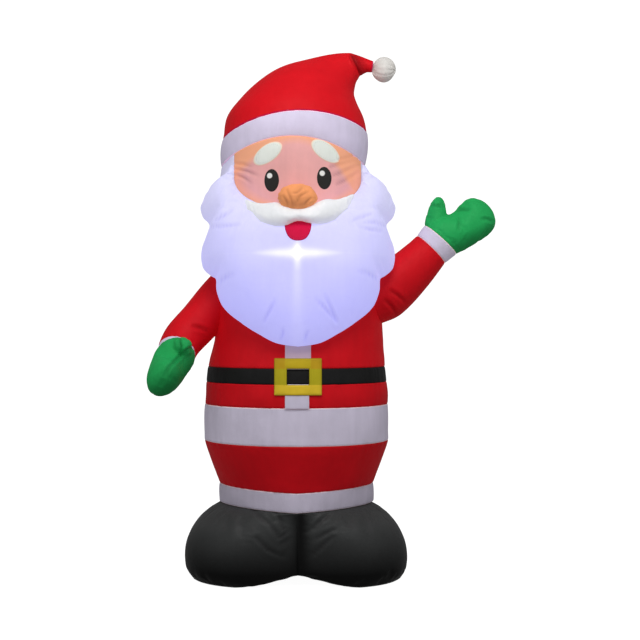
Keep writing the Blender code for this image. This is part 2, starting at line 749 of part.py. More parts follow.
def main():
    clear_scene()
    panels = body_panels()
    boot("left_boot", 1, panels["boot_cuff"])
    boot("right_boot", -1, panels["boot_cuff"])
    head_form, face, hair = head()
    band = hat_band()
    hat()
    left_sleeve = raised_arm(panels["coat"])
    right_sleeve = lowered_arm(panels["coat"])
    beard_raw = bag("beard_form", beard_form())
    beard = bag("beard", beard_form(), WHITE)
    cut(beard, head_form, panels["coat"], left_sleeve, right_sleeve, band)
    lip = moustache()
    cut(lip, head_form, beard_raw)
    tip = nose()
    cut(tip, head_form, lip)
    face_details(head_form, beard_raw, lip, band)
    waist_details(beard_raw)
    stand_on_origin()


main()
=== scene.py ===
"""A waving garden Santa, sewn from thin coloured polyester and held up by the air inside it.

Each chamber is cut and sewn as the real one is: the cloth is pulled in at its seams, puckers run out
from the stitches, and the padded chambers are blown up as cloth. Sizes are metres. The shapes are worked
out round the figure's own axis and then moved to its place in the frame.
"""

import math

import bmesh
import bpy
from mathutils import Matrix, Vector, noise
from mathutils.bvhtree import BVHTree
from mathutils.geometry import intersect_point_line


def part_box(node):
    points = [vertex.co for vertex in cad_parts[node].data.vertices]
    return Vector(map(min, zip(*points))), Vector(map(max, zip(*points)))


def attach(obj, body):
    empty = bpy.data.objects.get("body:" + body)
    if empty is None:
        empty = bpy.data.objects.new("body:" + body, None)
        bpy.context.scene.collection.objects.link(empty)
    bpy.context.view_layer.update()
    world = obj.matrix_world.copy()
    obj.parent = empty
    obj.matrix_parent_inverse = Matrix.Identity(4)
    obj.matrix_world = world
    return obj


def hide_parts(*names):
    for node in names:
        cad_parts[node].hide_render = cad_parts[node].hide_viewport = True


bl_info = {
    "name": "Air-filled garden Santa",
    "version": (1, 0, 0),
    "blender": (4, 5, 0),
    "location": "3D View > Sidebar > Garden Santa",
    "description": "Sews and blows up the cloth chambers of a waving garden figure",
    "category": "Add Mesh",
}

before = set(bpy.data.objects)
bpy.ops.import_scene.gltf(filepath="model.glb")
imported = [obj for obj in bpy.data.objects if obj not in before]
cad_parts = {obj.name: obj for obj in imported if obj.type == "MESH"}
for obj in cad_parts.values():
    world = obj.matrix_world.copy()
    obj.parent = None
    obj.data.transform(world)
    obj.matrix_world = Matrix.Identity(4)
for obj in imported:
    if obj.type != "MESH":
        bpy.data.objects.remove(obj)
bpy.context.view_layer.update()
BELT_LOW, BELT_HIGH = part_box("belt")
STAND = Vector(((BELT_LOW[0] + BELT_HIGH[0]) / 2, (BELT_LOW[1] + BELT_HIGH[1]) / 2, 0))

# Levels of the seams of the body
ANKLE = 0.170
CALF = 0.213
HEM_LOWER = 0.3125
HEM_UPPER = 0.395
BELT_LOWER = 0.446
BELT_UPPER = 0.4805
NECK = 0.745
BRIM = 0.938

# Body seams: level, half width, squareness
BODY_SEAMS = (
    (ANKLE, 0.1780, 1.6), (CALF, 0.1772, 1.7), (HEM_LOWER, 0.2115, 2.0), (HEM_UPPER, 0.2105, 2.0),
    (BELT_LOWER, 0.2075, 2.0), (BELT_UPPER, 0.2035, 2.0),
)
BODY_SHIFT = -0.0035
COAT_SHIFT = 0.0022
ANKLE_SAG = 0.0055
BODY_DEPTH_SHARE = 0.93
WAIST_SWELL = 0.0022
COAT_OUTLINE = (
    (0, 1), (0.19, 0.957), (0.38, 0.941), (0.56, 0.922), (0.71, 0.865), (0.86, 0.765), (1, 0.64),
)

# Boots
BOOT_OUTLINE = (
    (0, 0.962), (0.055, 0.988), (0.135, 0.999), (0.30, 1), (0.45, 0.984), (0.60, 0.944), (0.70, 0.903),
    (0.781, 0.860), (0.86, 0.808), (0.94, 0.745), (1, 0.687),
)
BOOT_HALF_SPAN = 0.2572
BOOT_SQUARENESS = 2.7
BOOT_TOE_REACH = 0.184
BOOT_HEEL_REACH = 0.172
BOOT_CLEFT = 0.245
BOOT_CLEFT_WIDTH = 0.143
BOOT_ARCH = 0.029
BOOT_FLAT_SHARE = 0.89
BOOT_EDGE = 0.010
BOOT_OVERLAP = 0.0022
LEFT_BOOT_SHARE = 0.972

# Head, face and hat
HEAD_HALF_WIDTH = 0.170
HEAD_LEAN = -0.0115
HEAD_DEPTH_SHARE = 0.95
HEAD_OUTLINE = (
    (0, 0.765, 0), (0.27, 0.92, 0.012), (0.56, 0.99, 0.030), (0.80, 1, 0.042), (1, 0.967, 0.050),
)
FACE_HALF_WIDTH = 0.142
FACE_BOTTOM = 0.082
FACE_CHIN = 0.075
FACE_BACK = -0.03
HAT_OUTLINE = (
    ((-0.1730, 0.0615), (0.1592, 0.0780), 0.156, 0.036),
    ((-0.1638, 0.1144), (0.1500, 0.1130), 0.144, 0.020),
    ((-0.1338, 0.1559), (0.1361, 0.1444), 0.124, 0.012),
    ((-0.1015, 0.1882), (0.1292, 0.1651), 0.106, 0.006),
    ((-0.0646, 0.2158), (0.1300, 0.1800), 0.087, 0.003),
    ((-0.0277, 0.2343), (0.1338, 0.1951), 0.069, 0),
    ((0.0208, 0.2481), (0.1385, 0.2040), 0.051, 0),
    ((0.0715, 0.2597), (0.1453, 0.2124), 0.036, 0),
    ((0.1130, 0.2643), (0.1540, 0.2170), 0.024, 0),
    ((0.1361, 0.2597), (0.1600, 0.2195), 0.018, 0),
    ((0.1740, 0.2450), (0.1700, 0.2190), 0.013, 0),
)
HAT_BAND_HEIGHT = 0.085
HAT_BAND_BULGE = 0.0045
POMPOM_RADIUS = 0.0293
POMPOM_ROWS = 44
POMPOM_SIDES = 96
POMPOM_CENTRE = (0.1977, -0.002, BRIM + 0.2251)

# Beard: half of its outline, as a share of the face's half width and above the neck
BEARD_OUTLINE = (
    (1.050, 0.182), (1.140, 0.164), (1.405, 0.131), (1.542, 0.095), (1.512, 0.073), (1.423, 0.057),
    (1.394, 0.048), (1.430, 0.027), (1.507, 0.005), (1.532, -0.0195), (1.484, -0.045), (1.366, -0.062),
    (1.278, -0.073), (1.261, -0.095), (1.148, -0.132), (0.859, -0.167), (0.568, -0.1925), (0.317, -0.2095),
    (0, -0.2164),
)
BEARD_FRONT = 40
BEARD_BEHIND = 16
BEARD_WRAP = 1.725
BEARD_UPPER_REACH = 0.155
BEARD_LOWER_REACH = 0.192
BEARD_HORN_BULGE = 0.016
BEARD_LOBE_BULGE = 0.045
BEARD_POUCH_BULGE = 0.078
BEARD_BACK = 0.05
CROSS_LEVEL = 0.7275

# Moustache: across as a share of the face's half width, above the neck, half height, half depth, forward
MOUSTACHE_STATIONS = (
    (-0.850, 0.0985, 0.0045, 0.005, 0.150), (-0.795, 0.0878, 0.0150, 0.012, 0.162),
    (-0.700, 0.0775, 0.0205, 0.017, 0.173), (-0.550, 0.0690, 0.0240, 0.021, 0.186),
    (-0.352, 0.0668, 0.0265, 0.023, 0.196), (-0.200, 0.0664, 0.0228, 0.021, 0.200),
    (0, 0.0690, 0.0160, 0.018, 0.201), (0.215, 0.0690, 0.0206, 0.021, 0.200),
    (0.410, 0.0735, 0.0260, 0.023, 0.194), (0.600, 0.0801, 0.0220, 0.020, 0.182),
    (0.735, 0.0924, 0.0165, 0.015, 0.168), (0.826, 0.1050, 0.0098, 0.009, 0.156),
    (0.865, 0.1110, 0.0045, 0.005, 0.150),
)
NOSE_CENTRE = (-0.0010, -0.196, NECK + 0.1040)
NOSE_RADII = (0.0438, 0.034, 0.0308)

# Patches: outwards as a share of the face's half width, and down from the brim
EYE_PLACE = (0.405, 0.0444)
EYE_RADII = (0.0161, 0.0245)
FACE_TILT = 0.048
BROW_PLACE = (0.446, -0.0150, -0.0030)
BROW_RADII = (0.0360, 0.0192)
BROW_SLOPE_DEG = 34
MOUTH_HALF_WIDTH = 0.0292
MOUTH_TOP = NECK + 0.056
MOUTH_DEPTH = 0.047
PLACKET_HALF_WIDTH = 0.028
PLACKET_THICKNESS = 0.0016
PLACKET_CELL = 0.004
BUCKLE_HALF_WIDTH = 0.0514
BUCKLE_HALF_HEIGHT = 0.0399
BUCKLE_HOLE_HALF_WIDTH = 0.0241
BUCKLE_HOLE_HALF_HEIGHT = 0.0171
BUCKLE_THICKNESS = 0.0026
BUCKLE_CORNER = 0.0025
BUCKLE_CELL = 0.0028

# Arms, above the belt
RAISED_ARM_FORWARD = 0.02
RAISED_SLEEVE = (
    ((0.1150, 0.2000), (0.1600, 0.0850)), ((0.1650, 0.2240), (0.1895, 0.0962)),
    ((0.1950, 0.2400), (0.2280, 0.1122)), ((0.2222, 0.2572), (0.2600, 0.1405)),
    ((0.2470, 0.2770), (0.2965, 0.1825)), ((0.2726, 0.2985), (0.3362, 0.2355)),
)
RAISED_WRIST = ((0.2898, 0.3227), (0.3628, 0.2562))
ARM_DEPTH_SHARE = 0.95
LOWERED_SLEEVE = (
    (-0.130, 0.005, 0.205, 0.055), (-0.1785, -0.010, 0.160, 0.049), (-0.222, -0.038, 0.103, 0.048),
    (-0.256, -0.068, 0.063, 0.0462), (-0.270, -0.095, 0.036, 0.0435),
)
LOWERED_WRIST = (-0.2705, -0.113, 0.0268, 0.0425)
LOWERED_HAND_DIRECTION = (-0.07, -0.94, -0.33)
LOWERED_THUMB_DIRECTION = (0.54, -0.31, 0.78)
LOWERED_HAND_SHARE = 0.955
LOWERED_HAND_LENGTH = 0.112
MITTEN_LENGTH = 0.130
MITTEN_PALM = (
    (0, 0, 0.0470, 0.0450), (0.15, -0.0045, 0.0515, 0.0440), (0.45, -0.0225, 0.0455, 0.0390),
    (0.60, -0.0260, 0.0465, 0.0370), (0.70, -0.0267, 0.0467, 0.0350), (0.82, -0.0255, 0.0445, 0.0310),
    (0.93, -0.0245, 0.0340, 0.0220), (1, -0.0230, 0.0130, 0.0090),
)
MITTEN_THUMB = (
    (0.10, 0.026, 0.0280), (0.25, 0.0410, 0.0230), (0.38, 0.0525, 0.0196), (0.49, 0.0625, 0.0128),
    (0.545, 0.0675, 0.0072),
)

# How finely the cloth is drawn
CELL = 0.0042
SEAM_ROWS = (0, 0.0012, 0.0026, 0.0044, 0.0068, 0.0100)
BODY_SIDES = 300
HEAD_SIDES = 240
ARM_SIDES = 84
THUMB_SIDES = 48
MITTEN_VOXEL = 0.0034
MITTEN_EASE_ROUNDS = 6
MOUSTACHE_SIDES = 56
PATTERN_STEPS = 40
AIR_FRAMES = 20

# The floor far round the figure
FLOOR_RADIUS = 5.0
FLOOR_CORNER = 1.6
FLOOR_WALL = 9.0
FLOOR_STEPS = 12

# Soft lights: name, place from the figure's stand, side of the panel, power
LIGHTS = (
    ("key", (0.10, -1.45, 2.15), 1.2, 25),
    ("fill", (-2.2, -1.9, 1.5), 2.2, 13),
    ("side", (2.3, -1.7, 1.5), 2.2, 11),
)
LIGHTS_AIM = 0.80
SKY_STRENGTH = 0.20

# The camera that took the photograph, and its picture
PHOTO_SIDE = 640
PHOTO_FOCAL = 1250
PHOTO_AXIS_X = 298
PHOTO_HORIZON_Y = 325
CAMERA_HEIGHT = 0.5749
CAMERA_DISTANCE = 2.883

# Folds that the photograph shows, by the points of the picture that they run through
BEARD_FOLDS = (
    ((209, 224), (224, 225), (242, 224)), ((214, 218), (224, 213), (233, 206)),
    ((387, 223), (376, 221), (362, 222)), ((372, 212), (362, 216), (351, 221)),
    ((384, 229), (372, 229), (359, 226)),
    ((218, 281), (227, 276), (236, 274)), ((379, 278), (368, 273), (357, 271)),
    ((337, 322), (325, 309), (314, 299)), ((337, 322), (331, 309), (324, 295)),
    ((264, 322), (270, 311), (276, 300)), ((281, 340), (283, 334), (283, 328)),
    ((305, 341), (306, 336), (309, 330)),
)
FACE_FOLDS = (
    ((330, 167), (344, 162), (361, 155)), ((334, 175), (346, 170), (361, 161)),
    ((337, 184), (348, 178), (361, 168)), ((339, 159), (350, 155), (361, 149)),
    ((234, 166), (247, 170), (259, 176)), ((234, 172), (243, 176), (252, 183)),
    ((234, 161), (243, 163), (252, 166)),
)
HAT_FOLDS = (
    ((350, 58), (354, 67), (359, 76)), ((350, 58), (354.5, 67), (360, 77)),
)
NOSE_FOLDS = (
    ((287, 190), (291, 200), (294, 208)), ((308, 192), (300, 197), (295, 205)),
    ((302, 188), (297, 193), (291, 194)),
    ((283, 196), (286, 201), (288, 206)), ((311, 198), (307, 202), (302, 207)),
)
BOOT_FOLDS = (
    ((253, 512), (269, 524), (281, 539), (286, 558)), ((256, 537), (269, 550), (285, 559)),
    ((276, 512), (284, 530), (288, 550)),
    ((329, 515), (320, 522), (313, 530)), ((335, 529), (325, 534), (314, 541)),
    ((332, 536), (321, 547), (309, 559)),
)
RAISED_MITTEN_FOLDS = (
    ((431, 206), (439, 206.5), (446, 207.5)), ((467, 211), (460, 210), (454, 211)),
    ((456, 231), (457, 224), (456, 217)), ((491, 222), (484, 220), (478, 221)),
)
LOWERED_MITTEN_FOLDS = (
    ((195, 345), (187, 350), (178, 356)), ((177, 339), (179, 348), (179, 357)),
    ((179, 356), (170, 366), (165, 377)),
)
SLEEVE_FOLDS = (
    ((388, 292), (396, 297), (404, 304)), ((197, 326), (204, 328), (211, 332)),
    ((383, 301), (391, 309), (395, 316)),
)


# Measures of the cloth

def between(low, high, share):
    return low + (high - low) * share


def signed_power(value, power):
    return math.copysign(abs(value) ** power, value)


def middle(points):
    return sum(points, Vector()) / len(points)


def flat_row(row):
    """A row of numbers and points as one list of numbers."""
    numbers = []
    for entry in row:
        numbers += flat_row(entry) if hasattr(entry, "__len__") else [entry]
    return numbers


def turns(sides):
    """The angles of the points of a ring."""
    return [math.tau * i / sides for i in range(sides)]


def marks_round(loop):
    """How far each point lies along a closed loop, and at the end its whole length."""
    marks = [0.0]
    for a, b in zip(loop, loop[1:] + loop[:1]):
        marks.append(marks[-1] + (b - a).length)
    return marks


def smooth_rows(rows, count=None):
    """Rows on a smooth curve through the given ones, close together at both ends, where the seams are."""
    rows = [flat_row(row) for row in rows]
    keys = [0.0]
    for a, b in zip(rows, rows[1:]):
        keys.append(keys[-1] + math.dist(a, b))
    slopes = []
    for i in range(len(rows)):
        before, after = max(0, i - 1), min(len(rows) - 1, i + 1)
        span = keys[after] - keys[before]
        slopes.append([(b - a) / span for a, b in zip(rows[before], rows[after])])
    shares = even_shares(count) if count else seam_shares(keys[-1])
    made = []
    piece = 0
    for share in shares:
        key = share * keys[-1]
        while piece < len(rows) - 2 and key > keys[piece + 1]:
            piece += 1
        step = keys[piece + 1] - keys[piece]
        t = (key - keys[piece]) / step
        ends = (
            2 * t ** 3 - 3 * t ** 2 + 1, t ** 3 - 2 * t ** 2 + t,
            3 * t ** 2 - 2 * t ** 3, t ** 3 - t ** 2)
        made.append([
            ends[0] * a + ends[1] * step * m + ends[2] * b + ends[3] * step * n
            for a, m, b, n in zip(rows[piece], slopes[piece], rows[piece + 1], slopes[piece + 1])
        ])
    return made


def even_shares(count):
    return [i / (count - 1) for i in range(count)]


def seam_shares(length, spacing=CELL):
    """Where the rows of a panel of this length lie, close together by its seams."""
    near = [d for d in SEAM_ROWS if d < length * 0.4]
    inner = length - 2 * near[-1]
    count = max(1, round(inner / spacing))
    body = [near[-1] + inner * k / count for k in range(1, count)]
    return [d / length for d in [*near, *body, *[length - d for d in reversed(near)]]]


def seen(point, depth):
    """A point of the photograph as across and up, on an upright plane at this depth."""
    scale = (CAMERA_DISTANCE + depth) / PHOTO_FOCAL
    up = CAMERA_HEIGHT + (PHOTO_HORIZON_Y - point[1]) * scale
    return Vector(((point[0] - PHOTO_AXIS_X) * scale, up, 0))


# Sewing: from loops of points to a closed skin of cloth

def meridians(loops):
    """How far each point lies along its own line down the piece, and the length of each line."""
    runs = [[0.0] * len(loops[0])]
    for above, below in zip(loops, loops[1:]):
        runs.append([run + (b - a).length for run, a, b in zip(runs[-1], above, below)])
    return runs, runs[-1]


def pucker(angle, girth, distance, seed, sizes):
    """How far the gathers of a seam draw the cloth in, at this angle and distance from the stitches."""
    many = girth / (math.tau * sizes.pucker_spacing)
    along = distance / (6 * sizes.pucker_spacing)
    place = Vector((math.cos(angle) * many, math.sin(angle) * many, along + seed))
    ridge = max(0.0, 1 - 2.6 * abs(noise.noise(place))) ** 1.5
    uneven = 0.55 + 0.9 * max(0.0, noise.noise(place * 0.23 + Vector((7, 3, 1))) + 0.3)
    return sizes.pucker_depth * ridge * uneven * math.exp(-distance / sizes.pucker_reach)


def groove(distance, sizes):
    """How far the stitches hold the cloth in."""
    if distance >= sizes.seam_width:
        return 0.0
    return sizes.seam_depth * (1 - math.sqrt(1 - (1 - distance / sizes.seam_width) ** 2))


def gathered(loops, seed, top=1.0, bottom=1.0, puckers=1.0, slack=1.0):
    """The loops, drawn in at the first and last one, with puckers and the soft dents of slack cloth."""
    sizes = cloth_sizes()
    runs, lengths = meridians(loops)
    made = []
    for loop, run in zip(loops, runs):
        centre = middle(loop)
        girth = marks_round(loop)[-1]
        new = []
        for i, (p, angle) in enumerate(zip(loop, turns(len(loop)))):
            inward = centre - p
            radius = inward.length
            pull = 0.0
            for distance, share, end in ((run[i], top, 0), (lengths[i] - run[i], bottom, 40)):
                pull += share * groove(distance, sizes)
                pull += share * puckers * pucker(angle, girth, distance, seed + end, sizes)
            away = min(1.0, run[i] / 0.02, (lengths[i] - run[i]) / 0.02)
            pull += slack * away * sizes.slack_depth * noise.noise(p * 11 + Vector((seed, 0, seed)))
            new.append(p + inward * (min(pull, radius * 0.5) / radius) if radius > 1e-6 else p.copy())
        made.append(new)
    return made


def skin(loops, sides_with_seams=()):
    """A closed cloth skin over loops of points, which knows its distance from the nearest seam."""
    bm = bmesh.new()
    cloth_uv = bm.loops.layers.uv.new("cloth")
    seam = bm.verts.layers.float.new("seam")
    sides, steps = len(loops[0]), len(loops) + 1
    bmesh.ops.create_uvsphere(bm, u_segments=sides, v_segments=steps, radius=1, calc_uvs=True)
    runs, lengths = meridians(loops)
    arounds = [[0.0] * sides for _ in loops]
    if sides_with_seams:
        for arc, loop in zip(arounds, loops):
            marks = marks_round(loop)
            for i in range(sides):
                ways = [abs(marks[i] - marks[k]) for k in sides_with_seams]
                arc[i] = min(min(way, marks[-1] - way) for way in ways)
    girth = max(marks_round(loop)[-1] for loop in loops)
    for v in bm.verts:
        step = round(math.acos(max(-1, min(1, v.co.z))) / math.pi * steps)
        side = round(math.atan2(v.co.y, v.co.x) / math.tau * sides) % sides
        if step in (0, steps):
            v.co = middle(loops[0 if step == 0 else -1])
            continue
        v.co = loops[step - 1][side]
        run = runs[step - 1][side]
        v[seam] = arounds[step - 1][side] if sides_with_seams else min(run, lengths[side] - run)
    for face in bm.faces:
        for corner in face.loops:
            u, v = corner[cloth_uv].uv
            corner[cloth_uv].uv = (u * girth, v * max(lengths))
    return bm


def sewn(name, bm):
    """The bmesh as an object, its faces outwards."""
    bmesh.ops.recalc_face_normals(bm, faces=bm.faces)
    if bm.calc_volume(signed=True) < 0:
        bmesh.ops.reverse_faces(bm, faces=bm.faces)
    mesh = bpy.data.meshes.new(name)
    bm.to_mesh(mesh)
    bm.free()
    piece = bpy.data.objects.new(name, mesh)
    bpy.context.scene.collection.objects.link(piece)
    return piece


def apply_all(piece):
    """Keeps the result of the piece's modifiers as its mesh."""
    graph = bpy.context.evaluated_depsgraph_get()
    old = piece.data
    piece.data = bpy.data.meshes.new_from_object(piece.evaluated_get(graph))
    piece.modifiers.clear()
    bpy.data.meshes.remove(old)
    return piece


def joined(name, first, second):
    """Two closed skins as one, drawn again in even cells and smoothed."""
    spare = bpy.data.meshes.new(name)
    second.to_mesh(spare)
    second.free()
    first.from_mesh(spare)
    bpy.data.meshes.remove(spare)
    piece = sewn(name, first)
    weld = piece.modifiers.new("One skin", "REMESH")
    weld.mode = "VOXEL"
    weld.voxel_size = MITTEN_VOXEL
    apply_all(piece)
    ease = piece.modifiers.new("Ease", "SMOOTH")
    ease.factor = 0.5
    ease.iterations = MITTEN_EASE_ROUNDS
    return apply_all(piece)


def blow_up(piece, held, growth, cap):
    """Fills the piece with air as a cloth bag that its seams hold, and keeps that shape.

    The cloth may stretch by the growth, and no point moves further than the cap."""
    piece.vertex_groups.new(name="held").add(held, 1.0, "REPLACE")
    air = piece.modifiers.new("Air", "CLOTH")
    cloth = air.settings
    cloth.quality = 5
    cloth.mass = 0.15
    cloth.air_damping = 4
    cloth.tension_stiffness = 18
    cloth.compression_stiffness = 18
    cloth.shear_stiffness = 8
    cloth.bending_stiffness = 0.25
    cloth.use_pressure = True
    cloth.uniform_pressure_force = cloth_sizes().pressure
    cloth.shrink_min = -growth
    cloth.vertex_group_mass = "held"
    cloth.effector_weights.gravity = 0
    air.point_cache.frame_start = 1
    air.point_cache.frame_end = AIR_FRAMES
    for number in range(1, AIR_FRAMES + 1):
        bpy.context.scene.frame_set(number)
    rest = [v.co.copy() for v in piece.data.vertices]
    apply_all(piece)
    for v, before in zip(piece.data.vertices, rest):
        move = v.co - before
        if move.length > 0:
            v.co = before + move.normalized() * cap * math.tanh(move.length / cap)
    bpy.context.scene.frame_set(1)
    piece.vertex_groups.clear()
    return piece


def near_seams(piece, reach):
    """The vertices that stitches hold."""
    return [i for i, d in enumerate(piece.data.attributes["seam"].data) if d.value < reach]


def fold(piece, folds, depth, width, plane):
    """Presses folds into the front of a piece, each a fine valley with a soft ridge on both sides.

    The piece keeps how deep each point lies in a crease, which the materials darken as painted shade."""
    mesh = piece.data
    lines = [[seen(point, plane) for point in line] for line in folds]
    reaches = []
    for line in lines:
        centre = middle(line)
        reaches.append((centre, 4 * width + max((p - centre).length for p in line)))
    shifts, creases = [], []
    for v in mesh.vertices:
        shift, crease = 0.0, 0.0
        if v.normal.y < 0.25:
            here = Vector((v.co.x, v.co.z, 0))
            for line, (centre, reach) in zip(lines, reaches):
                if (here - centre).length > reach:
                    continue
                nearest, run = 1.0, 0.0
                for k, (a, b) in enumerate(zip(line, line[1:])):
                    foot, share = intersect_point_line(here, a, b)
                    share = max(0.0, min(1.0, share))
                    off = (here - a.lerp(b, share)).length
                    if off < nearest:
                        nearest, run = off, (k + share) / (len(line) - 1)
                taper = math.sin(math.pi * min(1.0, 0.18 + 0.80 * run)) ** 0.8
                valley = math.exp(-(nearest / width) ** 2)
                ridge = 0.30 * math.exp(-((nearest - 2.1 * width) / width) ** 2)
                shift += taper * (valley - ridge)
                crease = max(crease, taper * valley)
        shifts.append(v.normal * (-depth * shift))
        creases.append(crease)
    for v, shift in zip(mesh.vertices, shifts):
        v.co += shift
    mesh.attributes.new("crease", "FLOAT", "POINT").data.foreach_set("value", creases)


def finer(piece):
    """One smooth subdivision, the same in the view and in the render."""
    fine = piece.modifiers.new("Fine cloth", "SUBSURF")
    fine.levels = 1
    fine.render_levels = 1
    return apply_all(piece)


def dress(piece, finish, slot, *nodes, padded=None):
    """Places a finished piece, gives it its cloth and hides the parts of the frame that it stands for."""
    piece.data.transform(Matrix.Translation(STAND))
    piece.data.materials.clear()
    piece.data.materials.append(finish)
    piece.data.shade_smooth()
    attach(piece, "root")
    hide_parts(*nodes)


# Materials

THREAD_PITCH = 0.0011
STITCHES_FROM_EDGE = 0.0042
STITCH_LENGTH = 0.0042
WHITE = (1, 1, 1, 1)
BAND_SEAM = (1.0, 0.70, 0.66, 1)


class Amount:
    """A number in a material, so that a pattern is written as plain sums."""

    def __init__(self, finish, socket):
        self.finish = finish
        self.socket = socket

    def do(self, operation, *others, clamp=False):
        settings = {"operation": operation, "use_clamp": clamp}
        made = self.finish.node("ShaderNodeMath", settings, dict(enumerate([self, *others])))
        return Amount(self.finish, made.outputs[0])

    def __add__(self, other):
        return self.do("ADD", other)

    def __radd__(self, other):
        return self.do("ADD", other)

    def __sub__(self, other):
        return self.do("SUBTRACT", other)

    def __rsub__(self, other):
        made = self.finish.node("ShaderNodeMath", {"operation": "SUBTRACT"}, {0: other, 1: self})
        return Amount(self.finish, made.outputs[0])

    def __mul__(self, other):
        return self.do("MULTIPLY", other)

    def __rmul__(self, other):
        return self.do("MULTIPLY", other)

    def __truediv__(self, other):
        return self.do("DIVIDE", other)

    def __neg__(self):
        return self.do("MULTIPLY", -1)

    def __abs__(self):
        return self.do("ABSOLUTE")

    def bell(self, width):
        """1 where the number is 0, and less away from it."""
        scaled = self / width
        return (-(scaled * scaled)).do("EXPONENT")

    def slope(self, low, high):
        """0 at low and 1 at high, in a straight line between."""
        return ((self - low) / (high - low)).do("ADD", 0, clamp=True)


class Finish:
    """A material being made. Patterns are placed by the figure's own axis."""

    def __init__(self, name):
        self.material = bpy.data.materials.new(name)
        self.material.use_nodes = True
        self.tree = self.material.node_tree
        self.shader = self.tree.nodes["Principled BSDF"]
        coordinates = self.node("ShaderNodeTexCoord")
        place = self.node(
            "ShaderNodeMapping", {"vector_type": "POINT"},
            {"Vector": coordinates.outputs["Object"], "Location": -STAND})
        self.place = place.outputs[0]
        parts = self.node("ShaderNodeSeparateXYZ", {}, {0: self.place})
        self.across, self.depth, self.height = (Amount(self, parts.outputs[i]) for i in range(3))
        self.cloth = coordinates.outputs["UV"]

    def node(self, kind, settings=None, inputs=None):
        """One node of this kind: its settings first, then the values or links of its sockets."""
        made = self.tree.nodes.new(kind)
        for key, value in (settings or {}).items():
            setattr(made, key, value)
        for key, value in (inputs or {}).items():
            self.feed(made.inputs[key], value)
        return made

    def feed(self, socket, value):
        if isinstance(value, Amount):
            value = value.socket
        if isinstance(value, bpy.types.NodeSocket):
            self.tree.links.new(value, socket)
        else:
            socket.default_value = value

    def grain(self, scale, detail=2, roughness=0.5, at=None):
        made = self.node(
            "ShaderNodeTexNoise", {"noise_dimensions": "3D"},
            {"Vector": at or self.place, "Scale": scale, "Detail": detail, "Roughness": roughness})
        return Amount(self, made.outputs[0])

    def stretched(self, scale):
        """The place on the figure, drawn out by these factors."""
        settings = {"vector_type": "POINT"}
        return self.node("ShaderNodeMapping", settings, {"Vector": self.place, "Scale": scale}).outputs[0]

    def attribute(self, name):
        made = self.node("ShaderNodeAttribute", {"attribute_type": "GEOMETRY", "attribute_name": name})
        return Amount(self, made.outputs["Fac"])

    def threads(self, pitch, on_cloth):
        """The up and down of a plain weave."""
        parts = self.node("ShaderNodeSeparateXYZ", {}, {0: self.cloth if on_cloth else self.place})
        first = Amount(self, parts.outputs[0]) * (math.tau / pitch)
        second = Amount(self, parts.outputs[1 if on_cloth else 2]) * (math.tau / pitch)
        return first.do("SINE") * second.do("SINE")

    def mix(self, share, low, high):
        made = self.node("ShaderNodeMix", {"data_type": "RGBA"}, {0: share, 6: low, 7: high})
        return made.outputs[2]

    def product(self, first, second):
        settings = {"data_type": "RGBA", "blend_type": "MULTIPLY"}
        return self.node("ShaderNodeMix", settings, {0: 1.0, 6: first, 7: second}).outputs[2]

    def dimmed(self, share, shade):
        """The cloth's colour so far, times this shade where the share is 1."""
        return self.product(self.paint(), self.mix(share, WHITE, shade))

    def paint(self):
        """The cloth's colour so far."""
        return self.shader.inputs["Base Color"].links[0].from_socket

    def bumped(self, height, distance, strength=1.0, normal=None):
        inputs = {"Strength": strength, "Distance": distance, "Height": height}
        if normal is not None:
            inputs["Normal"] = normal
        return self.node("ShaderNodeBump", {}, inputs).outputs[0]

    def set(self, **sockets):
        names = {
            "colour": "Base Color", "roughness": "Roughness", "normal": "Normal", "glow": "Emission Color",
            "glow_strength": "Emission Strength", "specular": "Specular IOR Level",
        }
        for key, value in sockets.items():
            self.feed(self.shader.inputs[names[key]], value)
        return self


def tint(colour, factor):
    return tuple(min(1.0, c * factor) for c in colour[:3]) + (1.0,)


def polyester(name, colour, shade=0.86, light=1.06, roughness=0.55, specular=0.10, on_cloth=True,
              seams=True, seam_colour=None, seam_reach=0.0022, painted_light=0.22):
    """Thin woven polyester: its weave, dents, uneven dye and stitched edge, with painted shade in its
    creases and a painted glow, fainter low down.
    """
    f = Finish(name)
    mottle = f.grain(9, 4, 0.6)
    streaks = f.grain(1, 3, 0.55, f.stretched((60, 60, 9)))
    weave = f.threads(THREAD_PITCH, on_cloth)
    dye = (mottle * 0.7 + streaks * 0.3).slope(0.3, 0.7)
    paint = f.mix(dye, tint(colour, shade), tint(colour, light))
    # painted shade: the cloth is darker where it lies deep in a crease
    paint = f.product(paint, f.mix(f.attribute("crease"), WHITE, (0.76, 0.73, 0.75, 1)))
    crumple = f.grain(55, 5, 0.55)
    normal = f.bumped(weave, 0.00006, 0.5, f.bumped(crumple, 0.0016, 0.5))
    if seams:
        seam = f.attribute("seam")
        stitched = 1 - seam.slope(seam_reach * 0.4, seam_reach)
        paint = f.mix(stitched * 0.75, paint, seam_colour or tint(colour, 0.70))
        thread = (seam - STITCHES_FROM_EDGE).bell(0.0006)
        parts = f.node("ShaderNodeSeparateXYZ", {}, {0: f.cloth})
        dash = (Amount(f, parts.outputs[0]) * (math.tau / STITCH_LENGTH)).do("SINE").slope(-0.3, 0.2)
        paint = f.mix(thread * dash * 0.35, paint, tint(colour, 0.6))
        normal = f.bumped(thread * dash, 0.0004, 0.6, normal)
    # painted glow: the cloth glows with its own painted colour, weaker towards the bottom of the figure
    inside = f.mix(f.height.slope(0.40, 0.54), (0.40, 0.40, 0.40, 1), WHITE)
    f.set(
        colour=paint, roughness=roughness - 0.07 * weave + 0.10 * (crumple - 0.5), normal=normal,
        specular=specular, glow=f.product(paint, inside), glow_strength=painted_light)
    return f


# Settings

def length_property(name, description, default, low=0.0):
    return bpy.props.FloatProperty(
        name=name, description=description, default=default, min=low, unit="LENGTH", subtype="DISTANCE")


